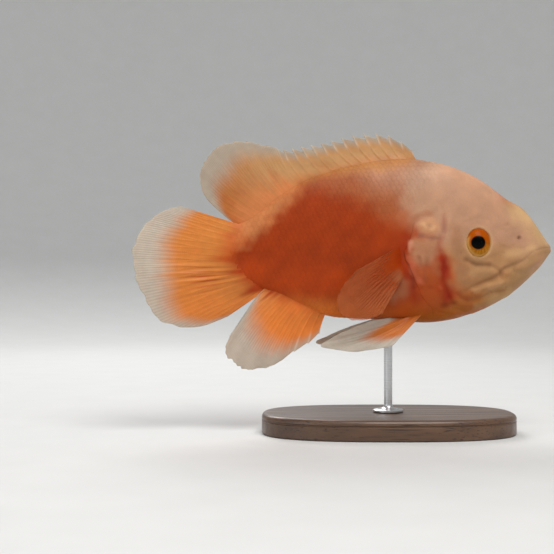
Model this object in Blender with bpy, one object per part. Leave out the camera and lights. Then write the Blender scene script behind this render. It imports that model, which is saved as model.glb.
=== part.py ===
"""A red oscar cichlid, life size, gliding above a plain oval stand. Metres, +Z up, nose towards +X."""

import math

import bmesh
import bpy
import numpy as np

# Driving sizes
MM = 0.001
TOTAL_LENGTH = 248 * MM
SNOUT_HEIGHT = 110 * MM
ROD_BEHIND_SNOUT = 98 * MM
NODE_GAP = 0.3 * MM

# The fish is laid out by distance behind the snout and height against the snout tip, both in
# millimetres of a fish this long, and scaled once to the total length.
LAYOUT_LENGTH = 248
SCALE = TOTAL_LENGTH / LAYOUT_LENGTH
GAP = NODE_GAP / SCALE

# Behind the snout, back, belly, half width, fullness of the upper half of the section
BODY_STATIONS = np.array([
    (0.0, -1.0, -1.0, 0.0, 2.2),
    (3.3, 4.2, -6.9, 5.2, 2.2),
    (8.0, 11.0, -12.9, 8.4, 2.2),
    (12.7, 17.6, -17.5, 10.5, 2.2),
    (17.5, 22.9, -22.0, 12.1, 2.3),
    (22.2, 25.9, -25.9, 13.4, 2.3),
    (27.0, 28.3, -29.3, 14.5, 2.3),
    (31.7, 31.7, -32.2, 15.4, 2.3),
    (41.2, 38.6, -37.1, 17.0, 2.3),
    (50.7, 43.8, -40.6, 18.3, 2.2),
    (60.2, 47.6, -43.0, 19.0, 2.1),
    (74.4, 50.9, -44.8, 19.0, 2.0),
    (89.8, 52.3, -44.1, 18.2, 1.9),
    (104.0, 51.3, -42.9, 17.0, 1.9),
    (119.5, 48.6, -42.3, 15.0, 1.9),
    (134.3, 44.5, -40.6, 12.6, 1.9),
    (149.1, 38.6, -34.6, 9.9, 1.9),
    (161.6, 31.0, -28.4, 7.7, 1.9),
    (171.7, 23.2, -24.6, 6.1, 2.0),
    (181.8, 15.6, -22.4, 4.7, 2.1),
    (194.0, 11.6, -20.6, 3.4, 2.2),
])
BELLY_FULLNESS = 2.4
WIDEST_BELOW_MIDDLE = 0.04
FINE_ROWS = 78
FINE_COLUMNS = 40
COARSE_ROWS = 52
COARSE_COLUMNS = 28
HEAD_ROW_CROWDING = 1.35
FLANK_CROWDING = 0.25

# Side-view lines, as (behind the snout, height)
MOUTH_LINE = np.array([(0.0, -1.0), (7.6, -3.2), (15.0, -6.1), (23.2, -9.5), (31.5, -13.2)])
JAW_OUTLINE = np.array([(-6.0, 0.6), *MOUTH_LINE, (36.0, -18.5), (40.5, -26.0), (43.0, -45.0), (-6.0, -45.0)])
GILL_LINE = np.array([(64.0, 70.0), (70.0, 36.0), (77.0, 20.0), (84.0, 8.0), (86.0, -3.0),
                      (82.0, -18.0), (76.0, -30.0), (69.5, -42.0), (66.0, -60.0)])
TAIL_STEM_START = 152.0
# Lines clear of the fish, ahead of it, above it and below it
AHEAD = -12.0
ABOVE = 70.0
BELOW = -60.0
TAIL_BASE_LINE = np.array([(183.0, 22.0), (187.0, 12.6), (190.0, 4.0), (190.5, -6.0), (186.5, -14.5),
                           (179.5, -21.3), (173.0, -25.6), (164.0, -34.0)])

# Lips
LIP_HEIGHT = 1.1
LIP_OFFSET = 2.3
LIP_SPREAD = 1.5

# Gill covers
GILL_TOP = 22.0
GILL_BOTTOM = -37.0
GILL_FRONT = np.array([(22.0, 70.5), (14.0, 69.2), (0.0, 68.7), (-14.0, 67.9), (-26.0, 66.0),
                       (-37.0, 62.0)])
GILL_REAR = np.array([(22.0, 76.5), (18.5, 82.0), (13.0, 85.6), (6.0, 87.8), (-2.0, 88.8), (-9.0, 87.4),
                      (-18.0, 84.8), (-28.0, 80.4), (-37.0, 72.8)])
GILL_ROWS = 15
GILL_COLUMNS = 9
GILL_PLATE_DEPTH = 2.2
GILL_FRONT_PROUD = 0.3
GILL_PLATE_PROUD = 1.0
POCKET_CLEARANCE = 0.35
POCKET_REACH = 6.0

# Eyes and nostrils
EYE_CENTRE = (48.2, 2.2)
EYE_HALF_LENGTH = 7.4
EYE_HALF_HEIGHT = 8.5
EYE_HALF_DEPTH = 5.4
EYE_SINK = 2.4
EYE_RINGS = 8
EYE_SEGMENTS = 22
ORBIT_RIM_SEGMENTS = 26
# Corners of the rim's section: out from the eye's edge, and up from the skin
ORBIT_RIM_SECTION = [(-0.9, 0.1), (0.3, 0.6), (2.3, -0.1), (0.7, -1.6)]
NOSTRIL_CENTRE = (23.2, 5.4)
NOSTRIL_RADIUS = 0.75
NOSTRIL_DEPTH = 2.2

# Fins: each key ray is (root behind the snout, root height) and its tip, both in the side view
DORSAL_SPINES = 13
DORSAL_SOFT_RAYS = 19
DORSAL_KEYS = np.array([
    (0.0, 79.2, 84.0, 58.2),
    (1.0, 83.5, 91.0, 63.2),
    (2.0, 88.5, 98.5, 66.4),
    (4.0, 99.0, 113.0, 67.2),
    (7.0, 116.5, 132.5, 63.2),
    (10.0, 134.3, 150.3, 59.8),
    (12.0, 146.0, 161.0, 58.4),
    (14.0, 154.0, 170.5, 60.0),
    (18.0, 161.0, 185.5, 62.4),
    (22.0, 167.5, 199.0, 58.6),
    (25.0, 173.0, 206.8, 49.5),
    (28.0, 177.9, 208.9, 37.3),
    (30.0, 181.2, 204.0, 26.5),
    (31.0, 183.4, 195.0, 18.2),
])
ANAL_RAYS = 19
ANAL_SPINES = 3
ANAL_KEYS = np.array([
    (0.0, 134.3, 138.8, -51.4),
    (1.0, 137.4, 145.6, -57.5),
    (2.0, 140.6, 153.9, -62.5),
    (4.0, 145.4, 165.5, -69.8),
    (7.0, 151.2, 177.5, -72.6),
    (10.0, 156.0, 187.5, -70.4),
    (13.0, 161.0, 194.3, -62.3),
    (15.0, 164.0, 193.2, -54.6),
    (17.0, 166.8, 186.5, -44.4),
    (18.0, 169.0, 179.8, -34.2),
])
TAIL_RAYS = 18
TAIL_KEYS = np.array([
    (0.00, 220.5, 23.9),
    (0.07, 226.5, 22.8),
    (0.17, 234.5, 18.2),
    (0.29, 243.5, 9.6),
    (0.41, 248.0, -1.5),
    (0.52, 248.0, -12.0),
    (0.63, 244.5, -23.5),
    (0.73, 238.5, -35.0),
    (0.82, 231.0, -44.0),
    (0.90, 219.0, -47.6),
    (0.96, 205.5, -46.2),
    (1.00, 193.0, -41.2),
])
PECTORAL_RAYS = 14
# Root behind the snout, root height, tip behind the snout, tip height, tip out from the mid-plane
PECTORAL_KEYS = np.array([
    (0.0, 91.6, 0.6, 119.5, -14.5, 25.5),
    (3.0, 91.6, -2.8, 128.5, -25.0, 27.0),
    (6.0, 91.3, -6.4, 130.5, -34.0, 27.5),
    (9.0, 90.8, -10.0, 125.5, -41.0, 26.5),
    (11.0, 90.2, -12.4, 116.5, -43.0, 25.0),
    (13.0, 89.4, -14.9, 103.5, -39.5, 22.5),
])
PELVIC_RAYS = 11
# Root behind the snout, root out from the mid-plane, tip behind the snout, tip height, tip out,
# and how far the ray bows forwards half way along
PELVIC_KEYS = np.array([
    (0.0, 77.0, 10.0, 97.0, -57.8, 15.5, 0.0),
    (1.0, 78.1, 9.3, 107.5, -60.0, 16.5, 1.2),
    (2.0, 79.2, 8.7, 118.0, -61.0, 17.4, 2.4),
    (3.0, 80.3, 8.0, 128.5, -60.6, 17.9, 3.3),
    (4.0, 81.4, 7.3, 138.5, -58.2, 18.0, 4.0),
    (6.0, 83.6, 6.0, 131.5, -52.8, 14.0, 2.6),
    (8.0, 85.8, 4.9, 119.5, -47.4, 10.2, 1.2),
    (10.0, 88.0, 4.0, 107.0, -43.2, 7.2, 0.0),
])
FIN_ROWS = np.array([0.0, 0.14, 0.4, 0.7, 1.0])
RAY_HALF_STEP = 0.22
MEMBRANE_HALF = 0.3
RAY_HALF = 0.62
RAY_TIP_HALF = 0.36
SPINE_HALF = 0.9
FIN_ROOT_SINK = 3.0
# Half thickness of the flesh at the foot of each fin
BACK_FIN_ROOT_HALF = 1.9
PECTORAL_ROOT_HALF = 1.5
PELVIC_ROOT_HALF = 1.3
# Bow of a ray as a share of its length, and the depth of the notches between spines
DORSAL_BOW = -0.06
DORSAL_NOTCH = 0.1
ANAL_BOW = -0.04
ANAL_NOTCH = 0.06

# Bend of the whole fish: the head turns a little away from -Y, the tail sweeps towards it
HEAD_TURN_START = 92.0
HEAD_TURN = 0.0009
TAIL_SWEEP_START = 112.0
TAIL_SWEEP = 0.00082

# Stand
BASE_LENGTH = 150 * MM
BASE_WIDTH = 88 * MM
BASE_THICKNESS = 12 * MM
BASE_EDGE = 2 * MM
BASE_CORNER_POWER = 2.6
BASE_SEGMENTS = 48
ROD_RADIUS = 2.5 * MM
ROD_FOOT_RADIUS = 9 * MM
ROD_FOOT_HEIGHT = 3.2 * MM
ROD_SEGMENTS = 24

# Colour, roughness and metallic value of each finish
FINISHES = {
    "flank": ((0.42, 0.07, 0.015), 0.42, 0.0),
    "face": ((0.62, 0.33, 0.16), 0.42, 0.0),
    "fin": ((0.75, 0.25, 0.06), 0.5, 0.0),
    "clear_fin": ((0.75, 0.42, 0.3), 0.45, 0.0),
    "eye": ((0.75, 0.3, 0.03), 0.15, 0.0),
    "walnut": ((0.09, 0.045, 0.025), 0.45, 0.0),
    "steel": ((0.55, 0.55, 0.55), 0.3, 1.0),
}


def clear_scene():
    for obj in list(bpy.data.objects):
        bpy.data.objects.remove(obj)


def smooth(at, knots, values):
    """Hermite curve through the knots, whose slopes are those of the parabola through three of them."""
    slopes = np.gradient(values, knots)
    at = np.clip(at, knots[0], knots[-1])
    i = np.clip(np.searchsorted(knots, at, side="right") - 1, 0, len(knots) - 2)
    span = knots[i + 1] - knots[i]
    t = (at - knots[i]) / span
    start = (1 + 2 * t) * (1 - t) ** 2 * values[i] + t * (1 - t) ** 2 * span * slopes[i]
    end = t * t * (3 - 2 * t) * values[i + 1] + t * t * (t - 1) * span * slopes[i + 1]
    return start + end


def station(behind, column):
    """A column of the body stations at any distance behind the snout. The root makes the nose round."""
    return smooth(np.sqrt(behind), np.sqrt(BODY_STATIONS[:, 0]), BODY_STATIONS[:, column])


def widest_height(behind):
    back, belly = station(behind, 1), station(behind, 2)
    return (back + belly) / 2 - WIDEST_BELOW_MIDDLE * (back - belly)


def section_height(behind, turn):
    """Height of the skin at an angle round the section: -90 degrees is the belly and 90 the back."""
    middle, rise = widest_height(behind), np.sin(turn)
    return middle + np.where(rise > 0, (station(behind, 1) - middle) * rise,
                             (middle - station(behind, 2)) * rise)


def section_turn(behind, height):
    """The angle round the section at which the skin has this height."""
    middle = widest_height(behind)
    reach = np.where(height > middle, station(behind, 1) - middle, middle - station(behind, 2))
    return np.arcsin(np.clip((height - middle) / np.maximum(reach, 1e-9), -1, 1))


def half_width(behind, turn):
    """Distance of the skin from the mid-plane at an angle round the section."""
    rise = np.abs(np.sin(turn))
    power = np.where(np.sin(turn) > 0, station(behind, 4), BELLY_FULLNESS)
    return station(behind, 3) * np.sqrt(np.clip(1 - rise ** power, 0, 1))


def path_distance(behind, height, path):
    """Distance in the side view from each point to a line of points."""
    best = np.full(np.broadcast(behind, height).shape, 1e9)
    for a, b in zip(path[:-1], path[1:]):
        run = b - a
        t = np.clip(((behind - a[0]) * run[0] + (height - a[1]) * run[1]) / (run @ run), 0, 1)
        best = np.minimum(best, np.hypot(behind - a[0] - t * run[0], height - a[1] - t * run[1]))
    return best


def relief(behind, height):
    """How far the lips stand out of the smooth head. They die away towards the corner of the mouth."""
    from_mouth = path_distance(behind, height, MOUTH_LINE)
    fade = np.clip(1 - behind / MOUTH_LINE[-1, 0], 0, 1) ** 0.5
    return LIP_HEIGHT * fade * np.exp(-((from_mouth - LIP_OFFSET) / LIP_SPREAD) ** 2)


def skin_point(behind, turn, side, lift=0.0):
    """Point of the skin, moved out along its normal by lift and the lips, in layout millimetres."""

    def plain(b, t):
        b = np.maximum(b, 0)
        return np.stack(np.broadcast_arrays(-b, side * half_width(b, t), section_height(b, t)), -1)

    step, swing = 0.02, 1e-3
    b = np.maximum(behind, step)
    t = np.clip(turn, -math.pi / 2 + swing, math.pi / 2 - swing)
    along = plain(b + step, t) - plain(b - step, t)
    around = plain(b, t + swing) - plain(b, t - swing)
    normal = np.cross(along, around) * np.asarray(side)[..., None]
    normal /= np.linalg.norm(normal, axis=-1, keepdims=True)
    point = plain(behind, turn)
    out = lift + relief(behind, point[..., 2])
    return point + normal * np.asarray(out)[..., None]


def mesh_object(name, points, faces):
    mesh = bpy.data.meshes.new(name)
    mesh.from_pydata(np.asarray(points, float).tolist(), [], [list(map(int, f)) for f in faces])
    made = bpy.data.objects.new(name, mesh)
    bpy.context.collection.objects.link(made)
    return made


def face_outwards(obj):
    shape = bmesh.new()
    shape.from_mesh(obj.data)
    bmesh.ops.recalc_face_normals(shape, faces=shape.faces)
    shape.to_mesh(obj.data)
    shape.free()


def body_loft(name, lift, row_count=COARSE_ROWS, column_count=COARSE_COLUMNS):
    """The whole body from snout to tail end, closed, moved out by lift."""
    share = np.linspace(0, 1, row_count + 1)[1:]
    rows = BODY_STATIONS[-1, 0] * share ** HEAD_ROW_CROWDING
    swing = np.linspace(-1, 1, column_count // 2 + 1)
    turns = math.pi / 2 * ((1 - FLANK_CROWDING) * swing + FLANK_CROWDING * swing ** 3)
    left = skin_point(rows[:, None], turns[None, :], 1.0, lift)
    right = skin_point(rows[:, None], turns[None, :], -1.0, lift)
    left[:, [0, -1], 1] = 0
    ring = np.concatenate([left, right[:, -2:0:-1]], axis=1)
    nose = np.array([[lift, 0, BODY_STATIONS[0, 1]]])
    count = ring.shape[1]
    end = np.mean(ring[-1], axis=0, keepdims=True)
    points = np.concatenate([nose, ring.reshape(-1, 3), end])
    last = len(points) - 1
    faces = []
    for j in range(count):
        k = (j + 1) % count
        faces.append((0, 1 + j, 1 + k))
        for i in range(len(rows) - 1):
            a, b = 1 + i * count, 1 + (i + 1) * count
            faces.append((a + j, b + j, b + k, a + k))
        tail = 1 + (len(rows) - 1) * count
        faces.append((last, tail + k, tail + j))
    made = mesh_object(name, points, faces)
    face_outwards(made)
    return made


def side_prism(name, outline, half_depth=60.0):
    """A side-view outline, as (behind the snout, height), drawn out across the fish."""
    count = len(outline)
    near = [(-b, -half_depth, h) for b, h in outline]
    far = [(-b, half_depth, h) for b, h in outline]
    walls = [(i, (i + 1) % count, count + (i + 1) % count, count + i) for i in range(count)]
    faces = [tuple(range(count)), tuple(range(2 * count - 1, count - 1, -1))] + walls
    made = mesh_object(name, near + far, faces)
    face_outwards(made)
    return made


def shifted(line, by):
    """A side-view line moved back by some millimetres."""
    return [(b + by, h) for b, h in line]


def apply_boolean(obj, tool, operation):
    cut = obj.modifiers.new(operation.title(), "BOOLEAN")
    cut.operation = operation
    cut.object = tool
    graph = bpy.context.evaluated_depsgraph_get()
    mesh = bpy.data.meshes.new_from_object(obj.evaluated_get(graph))
    obj.modifiers.clear()
    obj.data = mesh


def keep_largest(obj):
    """Drops every loose scrap but the closed surface with the most faces."""
    shape = bmesh.new()
    shape.from_mesh(obj.data)
    unseen, islands = set(shape.verts), []
    while unseen:
        stack, island = [unseen.pop()], set()
        while stack:
            corner = stack.pop()
            island.add(corner)
            for edge in corner.link_edges:
                other = edge.other_vert(corner)
                if other in unseen:
                    unseen.remove(other)
                    stack.append(other)
        islands.append(island)
    islands.sort(key=len)
    scraps = [corner for island in islands[:-1] for corner in island]
    bmesh.ops.delete(shape, geom=scraps, context="VERTS")
    shape.to_mesh(obj.data)
    shape.free()


def body_piece(name, whole, outline, *tools):
    """The part of the body inside a side-view outline, less the tools."""
    piece = bpy.data.objects.new(name, whole.data.copy())
    bpy.context.collection.objects.link(piece)
    region = side_prism(name + "_region", outline)
    apply_boolean(piece, region, "INTERSECT")
    bpy.data.objects.remove(region)
    for tool in tools:
        apply_boolean(piece, tool, "DIFFERENCE")
    keep_largest(piece)
    return piece


def gill_shell(name, side, inner, outer_front, outer_rear, grow):
    """A plate between the preopercle and the gill cover's margin, as thick as the lifts say."""
    heights = np.linspace(GILL_TOP + grow, GILL_BOTTOM - grow, GILL_ROWS)
    knots = -GILL_FRONT[:, 0]
    front = smooth(-heights, knots, GILL_FRONT[:, 1]) - grow
    rear = smooth(-heights, -GILL_REAR[:, 0], GILL_REAR[:, 1]) + grow
    share = np.linspace(0, 1, GILL_COLUMNS)
    behind = front[:, None] * (1 - share) + rear[:, None] * share
    height = np.broadcast_to(heights[:, None], behind.shape)
    turn = section_turn(behind, height)
    lift = outer_front + (outer_rear - outer_front) * share
    outside = skin_point(behind, turn, side, np.broadcast_to(lift, behind.shape))
    inside = skin_point(behind, turn, side, inner)
    return thick_sheet(name, outside, inside)


def thick_sheet(name, top, bottom):
    """Closes two grids of points into one body, split into triangles alike on both."""
    rows, columns = top.shape[:2]
    points = np.concatenate([top.reshape(-1, 3), bottom.reshape(-1, 3)])
    under = rows * columns
    faces = []
    for i in range(rows - 1):
        for j in range(columns - 1):
            a, b = i * columns + j, i * columns + j + 1
            d, c = a + columns, b + columns
            faces += [(a, b, c), (a, c, d)]
            faces += [(under + a, under + c, under + b), (under + a, under + d, under + c)]
    edge = [i for i in range(columns)]
    edge += [i * columns + columns - 1 for i in range(1, rows)]
    edge += [(rows - 1) * columns + j for j in range(columns - 2, -1, -1)]
    edge += [i * columns for i in range(rows - 2, 0, -1)]
    for a, b in zip(edge, edge[1:] + edge[:1]):
        faces += [(b, a, under + a), (b, under + a, under + b)]
    made = mesh_object(name, points, faces)
    face_outwards(made)
    return made


def surface_frame(behind, height, side):
    """Point on the skin and its outward normal at a side-view place."""
    turn = section_turn(np.array(behind), np.array(height))
    point = skin_point(np.array(behind), turn, side)
    normal = skin_point(np.array(behind), turn, side, 1.0) - point
    return point, normal / np.linalg.norm(normal)


def aligned(obj, point, normal):
    """Turns a mesh made along +Z so that it points along the normal, and moves it to the point."""
    third = np.array(normal)
    first = np.cross((0.0, 0.0, 1.0), third)
    first /= np.linalg.norm(first)
    second = np.cross(third, first)
    turn = np.stack([first, second, third], axis=1)
    corners = np.array([v.co for v in obj.data.vertices])
    for vertex, place in zip(obj.data.vertices, corners @ turn.T + point):
        vertex.co = place
    return obj


def eyeball(name, side, grow):
    """A flattened ball that sits in the head with its axis along the skin's normal."""
    point, normal = surface_frame(*EYE_CENTRE, side)
    shape = bmesh.new()
    bmesh.ops.create_uvsphere(shape, u_segments=EYE_SEGMENTS, v_segments=EYE_RINGS, radius=1.0)
    sizes = (EYE_HALF_LENGTH + grow, EYE_HALF_HEIGHT + grow, EYE_HALF_DEPTH + grow)
    bmesh.ops.scale(shape, vec=sizes, verts=shape.verts)
    made = mesh_object(name, [], [])
    shape.to_mesh(made.data)
    shape.free()
    return aligned(made, point - normal * EYE_SINK, normal)


def orbit_rim(name, side):
    """A low ring of skin round the eye, whose section follows the curve of the head."""
    turn = np.linspace(0, 2 * math.pi, ORBIT_RIM_SEGMENTS, endpoint=False)
    section = np.array(ORBIT_RIM_SECTION)
    behind = EYE_CENTRE[0] + np.cos(turn)[:, None] * (EYE_HALF_LENGTH + section[:, 0])
    height = EYE_CENTRE[1] + np.sin(turn)[:, None] * (EYE_HALF_HEIGHT + section[:, 0])
    points = skin_point(behind, section_turn(behind, height), side, section[:, 1])
    corners, count = len(section), ORBIT_RIM_SEGMENTS
    faces = []
    for i in range(count):
        for j in range(corners):
            k, n = (j + 1) % corners, (i + 1) % count
            a, b, c, d = i * corners + j, i * corners + k, n * corners + k, n * corners + j
            faces += [(a, b, c), (a, c, d)]
    made = mesh_object(name, points.reshape(-1, 3), faces)
    face_outwards(made)
    return made


def nostril_drill(name, side):
    point, normal = surface_frame(*NOSTRIL_CENTRE, side)
    shape = bmesh.new()
    bmesh.ops.create_cone(shape, cap_ends=True, segments=12, radius1=NOSTRIL_RADIUS * 0.6,
                          radius2=NOSTRIL_RADIUS * 1.4, depth=2 * NOSTRIL_DEPTH)
    made = mesh_object(name, [], [])
    shape.to_mesh(made.data)
    shape.free()
    return aligned(made, point, normal)


def ray_columns(rays):
    """Places across a fin, in steps of one ray: each ray has a crest and a foot on either side."""
    places, crest = [], []
    for ray in range(rays):
        for offset, high in ((-RAY_HALF_STEP, 0.0), (0.0, 1.0), (RAY_HALF_STEP, 0.0)):
            place = ray + offset
            if 0 <= place <= rays - 1:
                places.append(place)
                crest.append(high)
    return np.array(places), np.array(crest)


def fin_sheet(name, roots, tips, crest, ray_half, bow, root_half, notch=0.0, wave=None):
    """A fin's closed sheet from its rays' roots and tips.

    roots and tips hold one point for each column, crest is 1 on a ray and 0 beside it, bow is how
    far a ray's middle lies off its chord towards the fin's front edge, and root_half is the half
    thickness where the fin meets the body.
    """
    reach = 1 - notch * (1 - crest)
    chord = (tips - roots) * reach[:, None]
    share = FIN_ROWS[:, None, None]
    middle = roots + chord * share
    along = chord / np.linalg.norm(chord, axis=1, keepdims=True)
    across = np.gradient(roots * 0.5 + tips * 0.5, axis=0)
    across -= along * np.sum(across * along, axis=1, keepdims=True)
    across /= np.linalg.norm(across, axis=1, keepdims=True)
    middle -= across * np.broadcast_to(bow, crest.shape)[:, None] * 4 * share * (1 - share)
    if wave is not None:
        middle = middle + wave(FIN_ROWS[:, None], np.linspace(0, 1, len(crest))[None, :])
    rows = FIN_ROWS[:, None]
    own = np.cross(along, across)
    normal = own.mean(axis=0) * (1 - share ** 2) + own * share ** 2
    normal /= np.linalg.norm(normal, axis=2, keepdims=True)
    blade = MEMBRANE_HALF + crest * (ray_half + (RAY_TIP_HALF - ray_half) * rows - MEMBRANE_HALF)
    flesh = (1 - np.clip(rows / FIN_ROWS[2], 0, 1)) ** 1.5
    half = blade + np.maximum(root_half - blade, 0) * flesh
    return thick_sheet(name, middle + normal * half[..., None], middle - normal * half[..., None])


def keyed(columns, keys, field):
    return smooth(columns, keys[:, 0], keys[:, field])


def back_fin(name, keys, rays, spines, body_column, bow, notch, wave):
    """A fin in the mid-plane whose roots follow the back (column 1) or the belly (column 2)."""
    columns, crest = ray_columns(rays)
    root_behind = keyed(columns, keys, 1)
    tip = np.stack([-keyed(columns, keys, 2), 0 * columns, keyed(columns, keys, 3)], -1)
    inward = -1.0 if body_column == 1 else 1.0
    root_height = station(root_behind, body_column) + inward * FIN_ROOT_SINK
    root = np.stack([-root_behind, 0 * columns, root_height], -1)
    spiny = np.clip(spines - columns, 0, 1)
    ray_half = RAY_HALF + (SPINE_HALF - RAY_HALF) * spiny
    arch = bow * np.linalg.norm(tip - root, axis=1)
    return fin_sheet(name, root, tip, crest, ray_half, arch, BACK_FIN_ROOT_HALF, notch * spiny, wave)


def tail_fin(name):
    """The tail fin, whose root face has the outline of the tail stem's cut face."""
    columns, crest = ray_columns(TAIL_RAYS)
    place = columns / (TAIL_RAYS - 1)
    line = TAIL_BASE_LINE
    run = np.concatenate([[0], np.cumsum(np.hypot(*np.diff(line, axis=0).T))])
    crossings = [run[1], run[-2]]
    at = crossings[0] + place * (crossings[1] - crossings[0])
    behind, height = smooth(at, run, line[:, 0]) + GAP, smooth(at, run, line[:, 1])
    turn = section_turn(behind, height)
    inset = 0.5 * MEMBRANE_HALF
    root_half = np.maximum(half_width(behind, turn) - inset, MEMBRANE_HALF)
    root = np.stack([-behind, 0 * behind, height], -1)
    tips = np.stack([-smooth(place, TAIL_KEYS[:, 0], TAIL_KEYS[:, 1]), 0 * place,
                     smooth(place, TAIL_KEYS[:, 0], TAIL_KEYS[:, 2])], -1)
    return fin_sheet(name, root, tips, crest, RAY_HALF, 0.0, root_half, 0.0, tail_wave)


def tail_wave(share, place):
    """The tail fin's soft folds, which grow towards its edge."""
    out = 2.2 * share ** 2 * np.sin(2.2 * math.pi * place + 0.6)
    return np.stack([0 * out, out, 0 * out], -1)


def dorsal_wave(share, place):
    out = 1.6 * share ** 2 * np.clip((place - 0.55) / 0.45, 0, 1) * np.sin(2.4 * math.pi * place)
    return np.stack([0 * out, out, 0 * out], -1)


def anal_wave(share, place):
    out = 1.5 * share ** 2 * np.sin(1.8 * math.pi * place + 0.4)
    return np.stack([0 * out, out, 0 * out], -1)


def pectoral_fin(name, side):
    columns, crest = ray_columns(PECTORAL_RAYS)
    behind, height = keyed(columns, PECTORAL_KEYS, 1), keyed(columns, PECTORAL_KEYS, 2)
    root = skin_point(behind, section_turn(behind, height), side, -FIN_ROOT_SINK * 0.6)
    tips = np.stack([-keyed(columns, PECTORAL_KEYS, 3), side * keyed(columns, PECTORAL_KEYS, 5),
                     keyed(columns, PECTORAL_KEYS, 4)], -1)
    return fin_sheet(name, root, tips, crest, RAY_HALF, 0.0, PECTORAL_ROOT_HALF)


def pelvic_fin(name, side):
    columns, crest = ray_columns(PELVIC_RAYS)
    behind, out = keyed(columns, PELVIC_KEYS, 1), keyed(columns, PELVIC_KEYS, 2)
    share = np.clip(out / station(behind, 3), 0, 1)
    turn = -np.arcsin((1 - share ** 2) ** (1 / BELLY_FULLNESS))
    root = skin_point(behind, turn, side, -FIN_ROOT_SINK)
    tips = np.stack([-keyed(columns, PELVIC_KEYS, 3), side * keyed(columns, PELVIC_KEYS, 5),
                     keyed(columns, PELVIC_KEYS, 4)], -1)
    spiny = np.clip(1 - columns, 0, 1)
    ray_half = RAY_HALF + (SPINE_HALF - RAY_HALF) * spiny
    bow = keyed(columns, PELVIC_KEYS, 6)
    return fin_sheet(name, root, tips, crest, ray_half, bow, PELVIC_ROOT_HALF)


def bend_offset(behind):
    """How far the mid-plane is pushed across at a distance behind the snout, and its slope."""
    head = np.clip(HEAD_TURN_START - behind, 0, None)
    tail = np.clip(behind - TAIL_SWEEP_START, 0, None)
    across = HEAD_TURN * head ** 2 - TAIL_SWEEP * tail ** 2
    slope = -2 * HEAD_TURN * head - 2 * TAIL_SWEEP * tail
    return across, slope


def posed(obj):
    """Bends a straight layout mesh into the swimming curve and sets it at its real size and place."""
    corners = np.array([v.co for v in obj.data.vertices])
    across, slope = bend_offset(-corners[:, 0])
    heading = np.arctan(-slope)
    forward = corners[:, 0] - corners[:, 1] * np.sin(heading)
    sideways = across + corners[:, 1] * np.cos(heading)
    placed = np.stack([forward, sideways, corners[:, 2]], -1) * SCALE
    placed += np.array([ROD_BEHIND_SNOUT, 0, SNOUT_HEIGHT])
    obj.data.vertices.foreach_set("co", placed.ravel())
    obj.data.update()
    return obj


def stand_base():
    """A flat oval plate with a bevelled rim."""
    angle = np.linspace(0, 2 * math.pi, BASE_SEGMENTS, endpoint=False)
    power = 2 / BASE_CORNER_POWER
    shape = np.stack([np.sign(np.cos(angle)) * np.abs(np.cos(angle)) ** power,
                      np.sign(np.sin(angle)) * np.abs(np.sin(angle)) ** power], -1)
    rings = []
    for inset, height in ((BASE_EDGE / 2, 0), (0, BASE_EDGE / 2), (0, BASE_THICKNESS - BASE_EDGE),
                          (BASE_EDGE * 0.3, BASE_THICKNESS - BASE_EDGE * 0.3), (BASE_EDGE, BASE_THICKNESS)):
        flat = shape * (BASE_LENGTH / 2 - inset, BASE_WIDTH / 2 - inset)
        rings.append(np.column_stack([flat, np.full(BASE_SEGMENTS, height)]))
    faces = [tuple(range(BASE_SEGMENTS - 1, -1, -1))]
    for i in range(len(rings) - 1):
        for j in range(BASE_SEGMENTS):
            a, b = i * BASE_SEGMENTS + j, i * BASE_SEGMENTS + (j + 1) % BASE_SEGMENTS
            faces.append((a, b, b + BASE_SEGMENTS, a + BASE_SEGMENTS))
    faces.append(tuple((len(rings) - 1) * BASE_SEGMENTS + j for j in range(BASE_SEGMENTS)))
    return mesh_object("stand_base", np.concatenate(rings), faces)


def stand_rod(clearance):
    """A round rod turned with a low foot, which stops just short of the belly."""
    bottom = BASE_THICKNESS + NODE_GAP
    belly = SNOUT_HEIGHT + float(station(ROD_BEHIND_SNOUT / SCALE, 2)) * SCALE
    profile = [(0, bottom), (ROD_FOOT_RADIUS, bottom), (ROD_FOOT_RADIUS, bottom + ROD_FOOT_HEIGHT * 0.4),
               (ROD_FOOT_RADIUS * 0.72, bottom + ROD_FOOT_HEIGHT * 0.75),
               (ROD_RADIUS * 1.5, bottom + ROD_FOOT_HEIGHT),
               (ROD_RADIUS, bottom + ROD_FOOT_HEIGHT * 1.7),
               (ROD_RADIUS, belly + FIN_ROOT_SINK * SCALE), (0, belly + FIN_ROOT_SINK * SCALE)]
    shape = bmesh.new()
    edges = [shape.verts.new((radius, 0, height)) for radius, height in profile]
    for a, b in zip(edges, edges[1:]):
        shape.edges.new((a, b))
    bmesh.ops.spin(shape, geom=shape.verts[:] + shape.edges[:], cent=(0, 0, 0), axis=(0, 0, 1),
                   angle=2 * math.pi, steps=ROD_SEGMENTS, use_merge=True)
    bmesh.ops.remove_doubles(shape, verts=shape.verts, dist=1e-6)
    bmesh.ops.recalc_face_normals(shape, faces=shape.faces)
    made = mesh_object("stand_rod", [], [])
    shape.to_mesh(made.data)
    shape.free()
    apply_boolean(made, clearance, "DIFFERENCE")
    keep_largest(made)
    return made


def dress(obj, finish):
    colour, roughness, metallic = FINISHES[finish]
    material = bpy.data.materials.get(finish) or bpy.data.materials.new(finish)
    material.use_nodes = True
    shader = material.node_tree.nodes["Principled BSDF"]
    shader.inputs["Base Color"].default_value = (*colour, 1)
    shader.inputs["Roughness"].default_value = roughness
    shader.inputs["Metallic"].default_value = metallic
    obj.data.materials.clear()
    obj.data.materials.append(material)
    obj.data.shade_smooth()
    obj.data.set_sharp_from_angle(angle=math.radians(40))


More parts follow.
